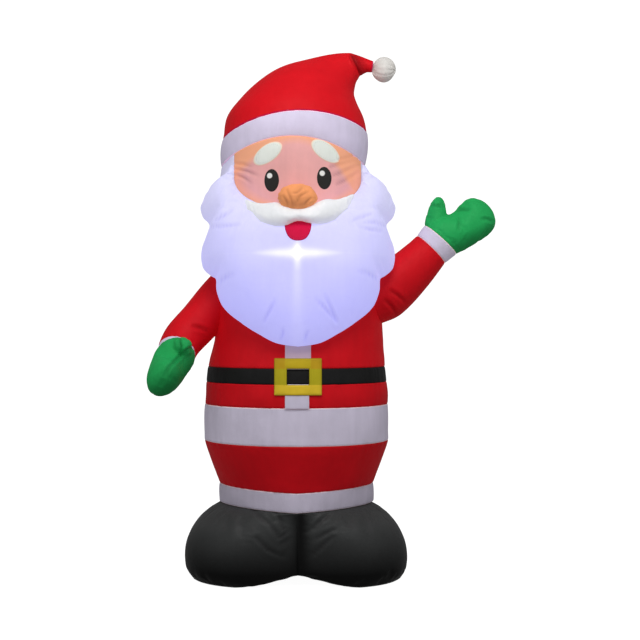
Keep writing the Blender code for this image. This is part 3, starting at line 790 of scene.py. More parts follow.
class GardenSantaSizes(bpy.types.PropertyGroup):
    """How the cloth is gathered and filled."""
    seam_depth: length_property("Seam depth", "How far the stitches hold the cloth in", 0.0015)
    seam_width: length_property(
        "Seam width", "How far from the stitches the cloth curves in", 0.0050, 0.0001)
    pucker_depth: length_property("Pucker depth", "Depth of the gathers at a seam", 0.0016)
    pucker_spacing: length_property("Pucker spacing", "From one gather to the next", 0.017, 0.001)
    pucker_reach: length_property(
        "Pucker reach", "How far the gathers run out from a seam", 0.016, 0.001)
    slack_depth: length_property("Slack", "Depth of the soft dents in the panels", 0.0022)
    pressure: bpy.props.FloatProperty(
        name="Air pressure", description="Pressure in the padded chambers", default=4.0, min=0)


def colour_property(name, default):
    return bpy.props.FloatVectorProperty(
        name=name, description=name + " of the cloth, linear", default=default, size=4, min=0, max=1,
        subtype="COLOR")


class GardenSantaColours(bpy.types.PropertyGroup):
    """The colours of the cloth."""
    red: colour_property("Red", (0.62, 0.005, 0.011, 1))
    white: colour_property("White", (0.62, 0.57, 0.70, 1))
    beard: colour_property("Beard white", (0.33, 0.32, 0.50, 1))
    black: colour_property("Black", (0.012, 0.012, 0.012, 1))
    green: colour_property("Green", (0.016, 0.34, 0.085, 1))
    pink: colour_property("Pink", (0.74, 0.37, 0.36, 1))
    orange: colour_property("Orange", (0.80, 0.31, 0.12, 1))
    yellow: colour_property("Yellow", (0.72, 0.51, 0.03, 1))
    crimson: colour_property("Crimson", (0.54, 0.003, 0.045, 1))


def colours():
    return bpy.context.scene.garden_santa_colours


def cloth_sizes():
    return bpy.context.scene.garden_santa_sizes


# Body

def level_ring(level, half_width, squareness, shift=BODY_SHIFT):
    """A line round the body. The two seams over the boots hang down a little in front."""
    sag = ANKLE_SAG * max(0.0, min(1.0, (HEM_LOWER - level) / (HEM_LOWER - CALF)))
    points = []
    for angle in turns(BODY_SIDES):
        x = shift + half_width * signed_power(math.cos(angle), 2 / squareness)
        y = half_width * BODY_DEPTH_SHARE * signed_power(math.sin(angle), 2 / squareness)
        drop = sag * (1 - abs(math.cos(angle))) if y < 0 else 0
        points.append(Vector((x, y, level - drop)))
    return points


def evened(loop):
    """The same closed loop with its points at even distances, the first one kept."""
    marks = marks_round(loop)
    ring = [*loop, loop[0]]
    made, k = [], 0
    for i in range(len(loop)):
        mark = marks[-1] * i / len(loop)
        while marks[k + 1] < mark:
            k += 1
        made.append(ring[k].lerp(ring[k + 1], (mark - marks[k]) / (marks[k + 1] - marks[k])))
    return made


def panel_loops(low, high, bulge):
    """The level loops of one panel of the body, from its upper to its lower seam."""
    loops = []
    for share in seam_shares(high[0] - low[0]):
        level, width, squareness = (between(b, a, share) for a, b in zip(low, high))
        width += bulge * math.sin(math.pi * share) ** 0.8
        loops.append(evened(level_ring(level, width, squareness)))
    return loops


def coat_loops():
    rows = []
    for share, width_share in reversed(COAT_OUTLINE):
        rows.append((between(BELT_UPPER, NECK, share), BODY_SEAMS[-1][1] * width_share))
    loops = []
    for level, width in smooth_rows(rows):
        lift = min(1.0, (level - BELT_UPPER) / 0.06)
        loops.append(level_ring(level, width, 2.0, between(BODY_SHIFT, COAT_SHIFT, lift)))
    return loops


class GARDEN_SANTA_OT_body(bpy.types.Operator):
    """Sews the coat, skirt, hem, trousers and boot tops"""
    bl_idname = "garden_santa.body"
    bl_label = "Body"
    bl_options = {"REGISTER", "UNDO"}

    def execute(self, context):
        red = polyester("red cloth", colours().red).material
        white = polyester("white band cloth", colours().white, seam_colour=BAND_SEAM, painted_light=0.33).material
        # painted shade: the band over the boots gets a darker white for the shade it lies in low on the
        # figure
        painted_shade_band_cloth = polyester(
            "boot band cloth", tint(colours().white, 0.88), seam_colour=(0.86, 0.68, 0.70, 1)).material
        coat = sewn("coat_cloth", skin(gathered(coat_loops(), 1)))
        dress(coat, red, "red_cloth", "coat", padded=1.0)
        plan = (
            ("boot_cuff", "boot_top_band", painted_shade_band_cloth, "white_cloth", 0, 0.0010),
            ("trousers", "trousers_cloth", red, "red_cloth", 1, 0.0012),
            ("coat_hem", "hem_band", white, "white_cloth", 2, 0.0010),
            ("coat_skirt", "skirt_cloth", red, "red_cloth", 3, 0.0004),
        )
        for node, name, cloth, slot, place, bulge in plan:
            loops = panel_loops(BODY_SEAMS[place], BODY_SEAMS[place + 1], bulge)
            dress(sewn(name, skin(gathered(loops, 3 + place))), cloth, slot, node, padded=1.0)
        return {"FINISHED"}


# Belt, buckle and plackets

def waist_front(x, z):
    """Depth of the front of the coat, belt or skirt at this place."""
    rows = [(row[0], row[1]) for row in BODY_SEAMS[3:]]
    rows += [(between(BELT_UPPER, NECK, s), BODY_SEAMS[-1][1] * w) for s, w in COAT_OUTLINE[1:]]
    for (low, a), (high, b) in zip(rows, rows[1:]):
        if z <= high or high == rows[-1][0]:
            width = between(a, b, (z - low) / (high - low))
            return -width * BODY_DEPTH_SHARE * math.sqrt(max(0.0, 1 - ((x - BODY_SHIFT) / width) ** 2))
    return 0.0


def waist_top(x, z):
    """Depth of the outside of the cloth there, with the swell of the panel."""
    return waist_front(x, z) - WAIST_SWELL


def cut_in_cells(bm, across, up, cell, near):
    """Cuts a flat piece, from its low to its high end both ways, so that it can follow what it lies on."""
    for axis, (low, high) in (((1, 0, 0), across), ((0, 0, 1), up)):
        count = max(2, round((high - low) / cell))
        for k in range(1, count):
            place = [between(low, high, k / count) * a for a in axis]
            bmesh.ops.bisect_plane(
                bm, geom=bm.verts[:] + bm.edges[:] + bm.faces[:], dist=near, plane_co=place, plane_no=axis)


def placket(name, right, bottom, top):
    """A rectangle of cloth with soft edges, laid on the front of the coat."""
    left, thickness = -PLACKET_HALF_WIDTH, PLACKET_THICKNESS
    bm = bmesh.new()
    bmesh.ops.create_cube(bm, size=1)
    bmesh.ops.scale(bm, verts=bm.verts, vec=(right - left, thickness, top - bottom))
    centre = ((left + right) / 2, -thickness / 2, (bottom + top) / 2)
    bmesh.ops.translate(bm, verts=bm.verts, vec=centre)
    bmesh.ops.bevel(
        bm, geom=bm.edges[:], offset=thickness * 0.45, segments=2, profile=0.5, affect="EDGES", material=-1)
    cut_in_cells(bm, (left, right), (bottom, top), PLACKET_CELL, 0.0002)
    seam = bm.verts.layers.float.new("seam")
    for v in bm.verts:
        v[seam] = min(v.co.x - left, right - v.co.x, v.co.z - bottom, top - v.co.z)
        v.co.y += waist_top(v.co.x, v.co.z)
    return sewn(name, bm)


class GARDEN_SANTA_OT_belt(bpy.types.Operator):
    """Sews the belt, its buckle and the white strips of the coat's front"""
    bl_idname = "garden_santa.belt"
    bl_label = "Belt and buckle"
    bl_options = {"REGISTER", "UNDO"}

    def execute(self, context):
        black = polyester("black cloth", colours().black, shade=0.7, light=1.0, roughness=0.5).material
        white = placket_finish()
        yellow = buckle_finish()
        loops = panel_loops(BODY_SEAMS[4], BODY_SEAMS[5], 0.0004)
        belt = sewn("belt_cloth", skin(gathered(loops, 9, puckers=0.7)))
        dress(belt, black, "black_cloth", "belt", padded=1.0)
        chin = NECK + BEARD_OUTLINE[-1][1]
        upper = placket("upper_placket", PLACKET_HALF_WIDTH, BELT_UPPER - 0.001, chin + 0.020)
        dress(upper, white, "white_cloth", "placket_upper")
        lower = placket(
            "lower_placket", PLACKET_HALF_WIDTH - 0.004, HEM_UPPER - 0.0004, BELT_LOWER + 0.001)
        dress(lower, white, "white_cloth", "placket_lower")
        dress(buckle_frame(), yellow, "yellow_cloth", "buckle")
        return {"FINISHED"}


def placket_finish():
    """White cloth with painted shade and a painted red reflection of the coat above the belt, under the
    beard.
    """
    f = polyester("placket cloth", colours().white, on_cloth=False, seams=False)
    # painted shade and painted red reflection on the part above the belt
    above = (f.height - BELT_UPPER).slope(-0.002, 0.002)
    return f.set(colour=f.dimmed(above, (0.86, 0.62, 0.62, 1))).material


def buckle_frame():
    """The open frame of the buckle, puffed between its inner and outer stitches."""
    level = (BELT_LOWER + BELT_UPPER) / 2
    thickness = BUCKLE_THICKNESS
    bm = bmesh.new()
    bmesh.ops.create_grid(bm, x_segments=1, y_segments=1, size=1)
    bmesh.ops.rotate(bm, verts=bm.verts, matrix=Matrix.Rotation(math.pi / 2, 3, "X"))
    bmesh.ops.scale(bm, verts=bm.verts, vec=(BUCKLE_HALF_WIDTH, 1, BUCKLE_HALF_HEIGHT))
    bmesh.ops.inset_region(
        bm, faces=bm.faces[:], thickness=BUCKLE_HALF_WIDTH - BUCKLE_HOLE_HALF_WIDTH, use_boundary=True)
    inner = min(bm.faces, key=lambda face: face.calc_center_median().length)
    for v in inner.verts:
        v.co.x = math.copysign(BUCKLE_HOLE_HALF_WIDTH, v.co.x)
        v.co.z = math.copysign(BUCKLE_HOLE_HALF_HEIGHT, v.co.z)
    bmesh.ops.delete(bm, geom=[inner], context="FACES_ONLY")
    pushed = bmesh.ops.extrude_face_region(bm, geom=bm.faces[:])
    moved = [g for g in pushed["geom"] if isinstance(g, bmesh.types.BMVert)]
    bmesh.ops.translate(bm, verts=moved, vec=(0, thickness, 0))
    bmesh.ops.recalc_face_normals(bm, faces=bm.faces)
    corners = [e for e in bm.edges if abs(e.verts[0].co.y - e.verts[1].co.y) > thickness * 0.5]
    bmesh.ops.bevel(
        bm, geom=corners, offset=BUCKLE_CORNER, segments=3, profile=0.5, affect="EDGES", material=-1)
    across, up = (-BUCKLE_HALF_WIDTH, BUCKLE_HALF_WIDTH), (-BUCKLE_HALF_HEIGHT, BUCKLE_HALF_HEIGHT)
    cut_in_cells(bm, across, up, BUCKLE_CELL, 0.0001)
    seam = bm.verts.layers.float.new("seam")
    front = min(v.co.y for v in bm.verts)
    back = max(v.co.y for v in bm.verts)
    for v in bm.verts:
        outer = min(BUCKLE_HALF_WIDTH - abs(v.co.x), BUCKLE_HALF_HEIGHT - abs(v.co.z))
        hole = max(abs(v.co.x) - BUCKLE_HOLE_HALF_WIDTH, abs(v.co.z) - BUCKLE_HOLE_HALF_HEIGHT)
        edge = max(0.0, min(outer, hole))
        v[seam] = edge
        ahead = (back - v.co.y) / (back - front)
        puff = WAIST_SWELL + thickness * (0.45 + 0.55 * min(1.0, edge / 0.006) ** 0.5)
        ripple = 0.0007 * noise.noise(Vector((v.co.x, 0, v.co.z)) * 90)
        v.co.z += level
        v.co.y = waist_top(v.co.x, v.co.z) + 0.0006 - ahead * (puff + ripple)
    return sewn("buckle_frame", bm)


def buckle_finish():
    """Yellow cloth, thin enough for what lies under it to tint it."""
    f = polyester("yellow cloth", colours().yellow, on_cloth=False, seam_colour=(0.42, 0.30, 0.02, 1))
    over_belt = f.mix((f.height - BELT_LOWER).slope(-0.001, 0.001), WHITE, (0.50, 0.64, 0.30, 1))
    placket = 1 - abs(f.across).slope(PLACKET_HALF_WIDTH - 0.001, PLACKET_HALF_WIDTH + 0.001)
    above = f.mix(placket, (0.58, 0.48, 0.25, 1), (0.62, 0.64, 0.33, 1))
    over_coat = f.mix((f.height - BELT_UPPER).slope(-0.001, 0.001), over_belt, above)
    return f.set(colour=f.product(f.paint(), over_coat)).material


# Hat

def tipped_ring(left, right, half_depth, rise):
    """One line round the head or the hat, from its left to its right point, which rises to the front."""
    points = []
    for angle in turns(HEAD_SIDES):
        forward = -math.sin(angle)
        point = left.lerp(right, (1 + math.cos(angle)) / 2)
        points.append(point + Vector((0, -half_depth * forward, rise * forward * abs(forward))))
    return points


def hat_ring(row):
    left_x, left_z, right_x, right_z, half_depth, rise = flat_row(row)
    left, right = Vector((left_x, 0, BRIM + left_z)), Vector((right_x, 0, BRIM + right_z))
    return tipped_ring(left, right, half_depth, rise)


def head_loops():
    loops = []
    for share, width_share, rise in smooth_rows(HEAD_OUTLINE[::-1], count=60):
        width = HEAD_HALF_WIDTH * width_share
        level = between(NECK, BRIM, share)
        centre = HEAD_LEAN * share
        left, right = Vector((centre - width, 0, level)), Vector((centre + width, 0, level))
        loops.append(tipped_ring(left, right, width * HEAD_DEPTH_SHARE, rise))
    return loops


def band_loops():
    low, high = head_loops()[0], hat_ring(HAT_OUTLINE[0])
    loops = []
    for share in seam_shares(HAT_BAND_HEIGHT):
        swell = HAT_BAND_BULGE * math.sin(math.pi * share) ** 0.7
        loop = []
        for a, b in zip(high, low):
            p = a.lerp(b, share)
            loop.append(p + Vector((p.x, p.y, 0)).normalized() * swell)
        loops.append(loop)
    return loops


def hat_finish():
    """Red cloth with painted shade just beyond the fold of the tip; its painted glow has the same colour."""
    f = polyester(
        "hat cloth", colours().red, light=1.0, seam_colour=(0.40, 0.005, 0.08, 1), seam_reach=0.0040)
    first, last = seen(HAT_FOLDS[0][0], 0), seen(HAT_FOLDS[0][-1], 0)
    away = Vector((first.y - last.y, last.x - first.x)).normalized()
    beyond = (f.across - first.x) * away.x + (f.height - first.y) * away.y
    shade = beyond.slope(-0.001, 0.002) * (1 - beyond.slope(0.003, 0.030))
    high = f.height.slope(last.y - 0.006, last.y + 0.006) * (1 - f.height.slope(first.y, first.y + 0.010))
    # painted shade on the bent tip beyond the fold
    paint = f.dimmed(shade * high * 0.8, (0.3, 0.3, 0.3, 1))
    return f.set(colour=paint, glow=paint).material


class GARDEN_SANTA_OT_hat(bpy.types.Operator):
    """Sews the red hat with its bent tip, the white band and the ball"""
    bl_idname = "garden_santa.hat"
    bl_label = "Hat"
    bl_options = {"REGISTER", "UNDO"}

    def execute(self, context):
        red = hat_finish()
        white = polyester(
            "hat band cloth", (0.64, 0.58, 0.74, 1), seam_colour=(1.0, 0.66, 0.88, 1),
            seam_reach=0.0042).material
        rings = [hat_ring(row) for row in smooth_rows(HAT_OUTLINE[::-1])]
        cone = sewn("hat_cloth", skin(gathered(rings, 21, top=0.3, slack=0.6)))
        fold(cone, HAT_FOLDS, depth=0.0034, width=0.0032, plane=0)
        dress(cone, red, "red_cloth", "hat", padded=1.0)
        band = sewn("hat_band_cloth", skin(gathered(band_loops(), 25, puckers=0.8)))
        dress(band, white, "white_cloth", "hat_band", padded=1.0)
        plain = polyester("pompom cloth", (0.62, 0.60, 0.57, 1), seams=False).material
        dress(pompom(), plain, "white_cloth", "pompom", padded=1.0)
        return {"FINISHED"}


def pompom():
    """The ball on the tip: a bag of cloth drawn together at both of its ends."""
    loops = []
    for row in range(1, POMPOM_ROWS):
        tilt = math.pi * row / POMPOM_ROWS
        loop = []
        for angle in turns(POMPOM_SIDES):
            place = Vector((math.cos(angle) * 2.3, math.sin(angle) * 2.3, tilt * 0.35))
            crease = max(0.0, 1 - 2.8 * abs(noise.noise(place))) ** 1.4
            ends = abs(math.cos(tilt)) ** 1.5
            radius = POMPOM_RADIUS * (1 - 0.10 * crease * (0.25 + ends) - 0.05 * ends)
            direction = Vector((
                math.cos(tilt), math.sin(tilt) * math.sin(angle), math.sin(tilt) * math.cos(angle)))
            loop.append(Vector(POMPOM_CENTRE) - direction * radius)
        loops.append(loop)
    return sewn("pompom_cloth", skin(loops))


# Head and face

def prism(outline, front, back):
    """A hidden block with this outline (across, up), from one depth to another."""
    bm = bmesh.new()
    face = bm.faces.new([bm.verts.new((x, front, z)) for x, z in outline])
    pushed = bmesh.ops.extrude_face_region(bm, geom=[face])
    moved = [g for g in pushed["geom"] if isinstance(g, bmesh.types.BMVert)]
    bmesh.ops.translate(bm, verts=moved, vec=(0, back - front, 0))
    return sewn("pattern", bm)


def face_pattern(margin):
    points = []
    for i in range(PATTERN_STEPS + 1):
        angle = math.pi * i / PATTERN_STEPS
        x = -(FACE_HALF_WIDTH + margin) * math.cos(angle)
        points.append((x, NECK + FACE_BOTTOM + FACE_CHIN - (FACE_CHIN + margin) * math.sin(angle)))
    top = BRIM + 0.2
    points += [(FACE_HALF_WIDTH + margin, top), (-FACE_HALF_WIDTH - margin, top)]
    return prism(points, -0.4, FACE_BACK + margin)


def cut_with(piece, pattern, operation):
    step = piece.modifiers.new("Cut", "BOOLEAN")
    step.operation = operation
    step.solver = "EXACT"
    step.object = pattern
    apply_all(piece)
    bpy.data.objects.remove(pattern)
    return piece


def face_finish():
    """Pink cloth with painted orange shade towards the edges of the face and under the brim; its painted
    glow has the same colour.
    """
    f = polyester("face cloth", colours().pink, seams=False)
    x = f.across
    ragged = (f.grain(26, 3) - 0.5) * 0.006
    below = (f.height - (NECK + FACE_BOTTOM + FACE_CHIN)).do("MINIMUM", 0) / FACE_CHIN
    outwards = ((x / FACE_HALF_WIDTH) * (x / FACE_HALF_WIDTH) + below * below).do("SQRT")
    rim = (outwards + ragged).slope(0.80, 0.99)
    under = (BRIM + 0.0486) - 2.1 * x * x - f.height
    reach = 0.007 + x * x * (1.9 + 3.2 * x.slope(-0.001, 0.001))
    top = (reach - under - ragged).slope(-0.011, 0.009)
    # painted orange shade along the face's edges and under the brim
    paint = f.mix(rim.do("MAXIMUM", top) * 0.9, f.paint(), (0.80, 0.36, 0.20, 1))
    return f.set(colour=paint, glow=paint).material


class GARDEN_SANTA_OT_head(bpy.types.Operator):
    """Sews the pink face and the white cloth round the back of the head"""
    bl_idname = "garden_santa.head"
    bl_label = "Head"
    bl_options = {"REGISTER", "UNDO"}

    def execute(self, context):
        face = cut_with(sewn("face_cloth", skin(head_loops())), face_pattern(0), "INTERSECT")
        fold(face, FACE_FOLDS, depth=0.0032, width=0.0028, plane=-0.15)
        dress(face, face_finish(), "pink_cloth", "face", padded=1.0)
        hair = sewn("hair_cloth", skin(gathered(head_loops(), 31)))
        cut_with(hair, face_pattern(0.0003), "DIFFERENCE")
        white = polyester("hair cloth", (0.62, 0.60, 0.80, 1), painted_light=0.35).material
        dress(hair, white, "white_cloth", "hair", padded=1.0)
        return {"FINISHED"}


# Face details

def front_of(name):
    """A function that gives the depth of a piece's front at a place."""
    mesh = bpy.data.objects[name].data
    corners = [v.co[:] for v in mesh.vertices]
    tree = BVHTree.FromPolygons(corners, [p.vertices[:] for p in mesh.polygons])

    def depth(x, z):
        hit = tree.ray_cast(Vector((x + STAND.x, -2, z)), Vector((0, 1, 0)))[0]
        if hit is None:
            raise RuntimeError("nothing to sew a patch on at %.3f, %.3f" % (x, z))
        return hit.y - STAND.y
    return depth


def oval_patch(name, centre, radii, slope_deg, thickness, lay, flat_top=False, squareness=2.0):
    """An oval of cloth with its edge turned under, laid on the front of another piece."""
    bm = bmesh.new()
    cloth_uv = bm.loops.layers.uv.new("cloth")
    bmesh.ops.create_uvsphere(bm, u_segments=72, v_segments=36, radius=1, calc_uvs=True)
    seam = bm.verts.layers.float.new("seam")
    bmesh.ops.rotate(bm, verts=bm.verts, matrix=Matrix.Rotation(math.pi / 2, 3, "X"))
    slope = math.radians(slope_deg)
    for v in bm.verts:
        r = math.hypot(v.co.x, v.co.z)
        v[seam] = (1 - r) * min(radii)
        lift = (max(0.0, 1 - r ** 4) ** 0.5 * 0.5 + 0.5 * max(0.0, 1 - r * r) ** 0.5) * thickness
        angle = math.atan2(v.co.z, v.co.x)
        a = r * signed_power(math.cos(angle), 2 / squareness) * radii[0]
        b = r * signed_power(math.sin(angle), 2 / squareness) * radii[1]
        if flat_top and b > 0:
            b *= 0.04
        x = centre[0] + a * math.cos(slope) - b * math.sin(slope)
        z = centre[1] + a * math.sin(slope) + b * math.cos(slope)
        v.co = (x, lay(x, z) - (lift if v.co.y < 0 else -0.0008), z)
    for face in bm.faces:
        for corner in face.loops:
            corner[cloth_uv].uv = (corner.vert.co.x, corner.vert.co.z)
    return sewn(name, bm)


def eye_finish(name, centre):
    """Black cloth with the round white highlight of an eye."""
    f = polyester(name, (0.022, 0.022, 0.020, 1), seams=False)
    x, z = f.across - (centre[0] - 0.0045), f.height - (centre[1] + 0.0100)
    spot = 1 - (x * x + z * z).do("SQRT").slope(0.0050, 0.0066)
    return f.set(colour=f.mix(spot, f.paint(), (0.86, 0.88, 0.84, 1))).material


def face_place(place, side):
    across = side * place[0] * FACE_HALF_WIDTH + (place[2] if len(place) > 2 else 0)
    return across, BRIM - place[1] + FACE_TILT * across


class GARDEN_SANTA_OT_details(bpy.types.Operator):
    """Sews on the eyes, brows, nose, moustache and mouth"""
    bl_idname = "garden_santa.details"
    bl_label = "Face details"
    bl_options = {"REGISTER", "UNDO"}

    def execute(self, context):
        on_face = front_of("face_cloth")
        brow_cloth = polyester(
            "brow cloth", (0.68, 0.71, 0.66, 1), on_cloth=False, seam_colour=(0.78, 0.58, 0.42, 1)).material
        for node, side in (("right", -1), ("left", 1)):
            centre = face_place(EYE_PLACE, side)
            eye = oval_patch(node + "_eye_patch", centre, EYE_RADII, 0, 0.0018, on_face)
            dress(eye, eye_finish(node + " eye cloth", centre), "black_cloth", node + "_eye")
            centre = face_place(BROW_PLACE, side)
            slope = -side * BROW_SLOPE_DEG
            brow = oval_patch(node + "_brow_patch", centre, BROW_RADII, slope, 0.0026, on_face)
            dress(brow, brow_cloth, "white_cloth", node + "_brow")
        self.make_moustache()
        self.make_nose()
        bare = front_of("beard_cloth")

        def on_beard(x, z):
            samples = [bare(x + a, z + b) for a in (-0.012, 0, 0.012) for b in (-0.012, 0, 0.012)]
            return sum(samples) / len(samples) - 0.0012

        crimson = polyester("crimson cloth", colours().crimson, seam_colour=(0.25, 0.004, 0.06, 1)).material
        mouth = oval_patch(
            "mouth_patch", (0, MOUTH_TOP), (MOUTH_HALF_WIDTH, MOUTH_DEPTH), 0, 0.0020, on_beard,
            flat_top=True, squareness=2.5)
        dress(mouth, crimson, "crimson_cloth", "mouth")
        return {"FINISHED"}

    def make_moustache(self):
        loops = []
        for x, z, half_height, half_depth, forward in smooth_rows(MOUSTACHE_STATIONS, count=110):
            loops.append([
                Vector((
                    x * FACE_HALF_WIDTH, -forward + half_depth * math.cos(angle),
                    NECK + z + half_height * math.sin(angle)))
                for angle in turns(MOUSTACHE_SIDES)
            ])
        seams = (MOUSTACHE_SIDES // 4, MOUSTACHE_SIDES * 3 // 4)
        lip = sewn("moustache_cloth", skin(loops, seams))
        blow_up(lip, near_seams(lip, 0.0012), growth=0.05, cap=0.003)
        white = polyester(
            "moustache cloth", (0.70, 0.71, 0.73, 1), seam_colour=(0.60, 0.58, 0.66, 1), painted_light=0.34).material
        dress(finer(lip), white, "white_cloth", "moustache", padded=1.0)

    def make_nose(self):
        bm = bmesh.new()
        bm.loops.layers.uv.new("cloth")
        seam = bm.verts.layers.float.new("seam")
        bmesh.ops.create_uvsphere(bm, u_segments=80, v_segments=48, radius=1, calc_uvs=True)
        for v in bm.verts:
            v[seam] = abs(v.co.y) * 0.03
            gather = max(0.0, 1 - 2.5 * abs(noise.noise(Vector((v.co.x * 2.2, v.co.z * 2.2, 5))))) ** 1.5
            rim = 1 - abs(v.co.y)
            v.co *= 1 - 0.07 * gather * rim
            v.co = Vector(a * b for a, b in zip(v.co, NOSE_RADII)) + Vector(NOSE_CENTRE)
        nose = sewn("nose_cloth", bm)
        fold(nose, NOSE_FOLDS, depth=0.0021, width=0.0024, plane=-0.22)
        orange = polyester("orange cloth", colours().orange, shade=0.8, light=1.15, seams=False).material
        dress(nose, orange, "orange_cloth", "nose", padded=0.9)


# Beard

def beard_inner(share):
    """A point on the beard's inner edge, along the face: share 0 is under the brim, 1 is the chin."""
    straight = 0.2
    if share < straight:
        return FACE_HALF_WIDTH, between((BRIM - NECK) * 0.95, FACE_BOTTOM + FACE_CHIN, share / straight)
    angle = (share - straight) / (1 - straight) * math.pi / 2
    return FACE_HALF_WIDTH * math.cos(angle), FACE_BOTTOM + FACE_CHIN - FACE_CHIN * math.sin(angle)


def beard_rest(x, z):
    """How far forward the beard's seams lie, at this place above the neck."""
    low = min(row[1] for row in BEARD_OUTLINE)
    drop = min(1, max(0, (FACE_BOTTOM - z) / (FACE_BOTTOM - low)))
    reach = between(BEARD_UPPER_REACH, BEARD_LOWER_REACH, drop)
    return -reach * math.sqrt(max(0, 1 - (x / (BEARD_WRAP * FACE_HALF_WIDTH)) ** 2))


def beard_section(share, outer_x, outer_z, side):
    """One section across the beard, from the face to its outer edge and back behind."""
    outer = (outer_x * FACE_HALF_WIDTH, outer_z)
    inner = beard_inner(share)
    length = math.hypot(outer[0] - inner[0], outer[1] - inner[1])
    bulge = between(BEARD_HORN_BULGE, BEARD_LOBE_BULGE, min(1, share * 4))
    bulge = between(bulge, BEARD_POUCH_BULGE, max(0, min(1, (share - 0.35) / 0.35)))
    bulge = min(bulge, length * 0.6)
    points = []
    for k in range(BEARD_FRONT):
        u = (1 - math.cos(math.pi * k / (BEARD_FRONT - 1))) / 2
        u = between(u, k / (BEARD_FRONT - 1), 0.6)
        x, z = between(inner[0], outer[0], u), between(inner[1], outer[1], u)
        points.append(Vector((side * x, beard_rest(x, z) - bulge * math.sin(math.pi * u) ** 0.65, NECK + z)))
    for k in range(1, BEARD_BEHIND + 1):
        u = 1 - k / (BEARD_BEHIND + 1)
        x, z = between(inner[0], outer[0], u), between(inner[1], outer[1], u)
        points.append(Vector((side * x, beard_rest(x, z) + BEARD_BACK * math.sin(math.pi * u), NECK + z)))
    return points


def beard_loops():
    last = len(BEARD_OUTLINE) - 1
    rows = smooth_rows([(0.05 * i, *row) for i, row in enumerate(BEARD_OUTLINE)], count=110)
    half = [(key / (0.05 * last), x, z) for key, x, z in rows]
    right = [beard_section(*row, -1) for row in half]
    return right + [beard_section(*row, 1) for row in reversed(half[:-1])]


def beard_finish():
    """White cloth of a lilac tint, with a painted glow standing in for the lamps inside: a bright cross,
    bluer low down, with painted shade in the middle and in the creases.
    """
    f = polyester("beard cloth", colours().beard, roughness=0.6, seam_colour=(0.42, 0.38, 0.66, 1))
    # painted glow of the lamps inside: a cross with a haze round its middle
    x, z = f.across + 0.0015, f.height - CROSS_LEVEL
    taper = (1 - abs(x) / 0.100).do("MAXIMUM", 0.02)
    arm = (z / (0.0112 * taper.do("SQRT"))).bell(1.0) * taper.slope(0.0, 0.60)
    down = (-z).slope(0.0, 0.20)
    stem = (x / (0.0062 + 0.012 * down)).bell(1.0) * (1 - 0.85 * down) * z.slope(0.030, 0.010)
    near = 0.42 * (-z).slope(0.040, 0.0) + 0.19
    haze = z.bell(0.026) * x.bell(0.15) * 0.08
    core = x.bell(0.012) * z.bell(0.013)
    painted_cross_glow = (arm * 0.50 + stem * near + core * 0.25 + haze).do("ADD", 0, clamp=True)
    # painted glow colours: bluer low down, with painted shade in the middle and in the creases
    base = f.mix(f.height.slope(0.62, 0.88), (0.375, 0.37, 0.78, 1), (0.46, 0.455, 0.60, 1))
    base = f.product(base, f.mix(x.bell(0.085) * z.bell(0.055), WHITE, (0.83, 0.83, 0.95, 1)))
    base = f.product(base, f.mix(f.attribute("crease"), WHITE, (0.84, 0.84, 0.95, 1)))
    return f.set(glow=f.mix(painted_cross_glow, base, (1.0, 1.0, 0.95, 1)), glow_strength=1.0).material


class GARDEN_SANTA_OT_beard(bpy.types.Operator):
    """Sews and blows up the large scalloped beard"""
    bl_idname = "garden_santa.beard"
    bl_label = "Beard"
    bl_options = {"REGISTER", "UNDO"}

    def execute(self, context):
        beard = sewn("beard_cloth", skin(beard_loops(), (0, BEARD_FRONT - 1)))
        blow_up(beard, near_seams(beard, 0.0015), growth=0.04, cap=0.010)
        fold(beard, BEARD_FOLDS, depth=0.0042, width=0.0030, plane=-0.22)
        dress(finer(beard), beard_finish(), "white_cloth", "beard", padded=1.0)
        return {"FINISHED"}


# Arms

def raised_ring(row):
    upper_x, upper_z, lower_x, lower_z = flat_row(row)
    top = Vector((upper_x, -RAISED_ARM_FORWARD, BELT_UPPER + upper_z))
    bottom = Vector((lower_x, -RAISED_ARM_FORWARD, BELT_UPPER + lower_z))
    across = (top - bottom) / 2
    front = Vector((0, -across.length * ARM_DEPTH_SHARE, 0))
    return [(top + bottom) / 2 + across * math.cos(a) + front * math.sin(a) for a in turns(ARM_SIDES)]


def round_ring(centre, axis, aside, radius, sides=ARM_SIDES):
    """A circle of points round an axis, starting on the side that aside points to."""
    axis = axis.normalized()
    first = (aside - axis * aside.dot(axis)).normalized() * radius
    second = axis.cross(first)
    return [centre + first * math.cos(a) + second * math.sin(a) for a in turns(sides)]


def lowered_rings(rows):
    centres = [Vector((x, y, BELT_UPPER + z)) for x, y, z, radius in rows]
    aside = Vector(LOWERED_THUMB_DIRECTION)
    rings = []
    for i, row in enumerate(rows):
        axis = centres[min(len(rows) - 1, i + 1)] - centres[max(0, i - 1)]
        rings.append(round_ring(centres[i], axis, aside, row[3]))
    return rings


def steps_between(first, last):
    """Loops from the first to the last one."""
    return [[a.lerp(b, share) for a, b in zip(first, last)] for share in seam_shares(0.026, 0.004)]


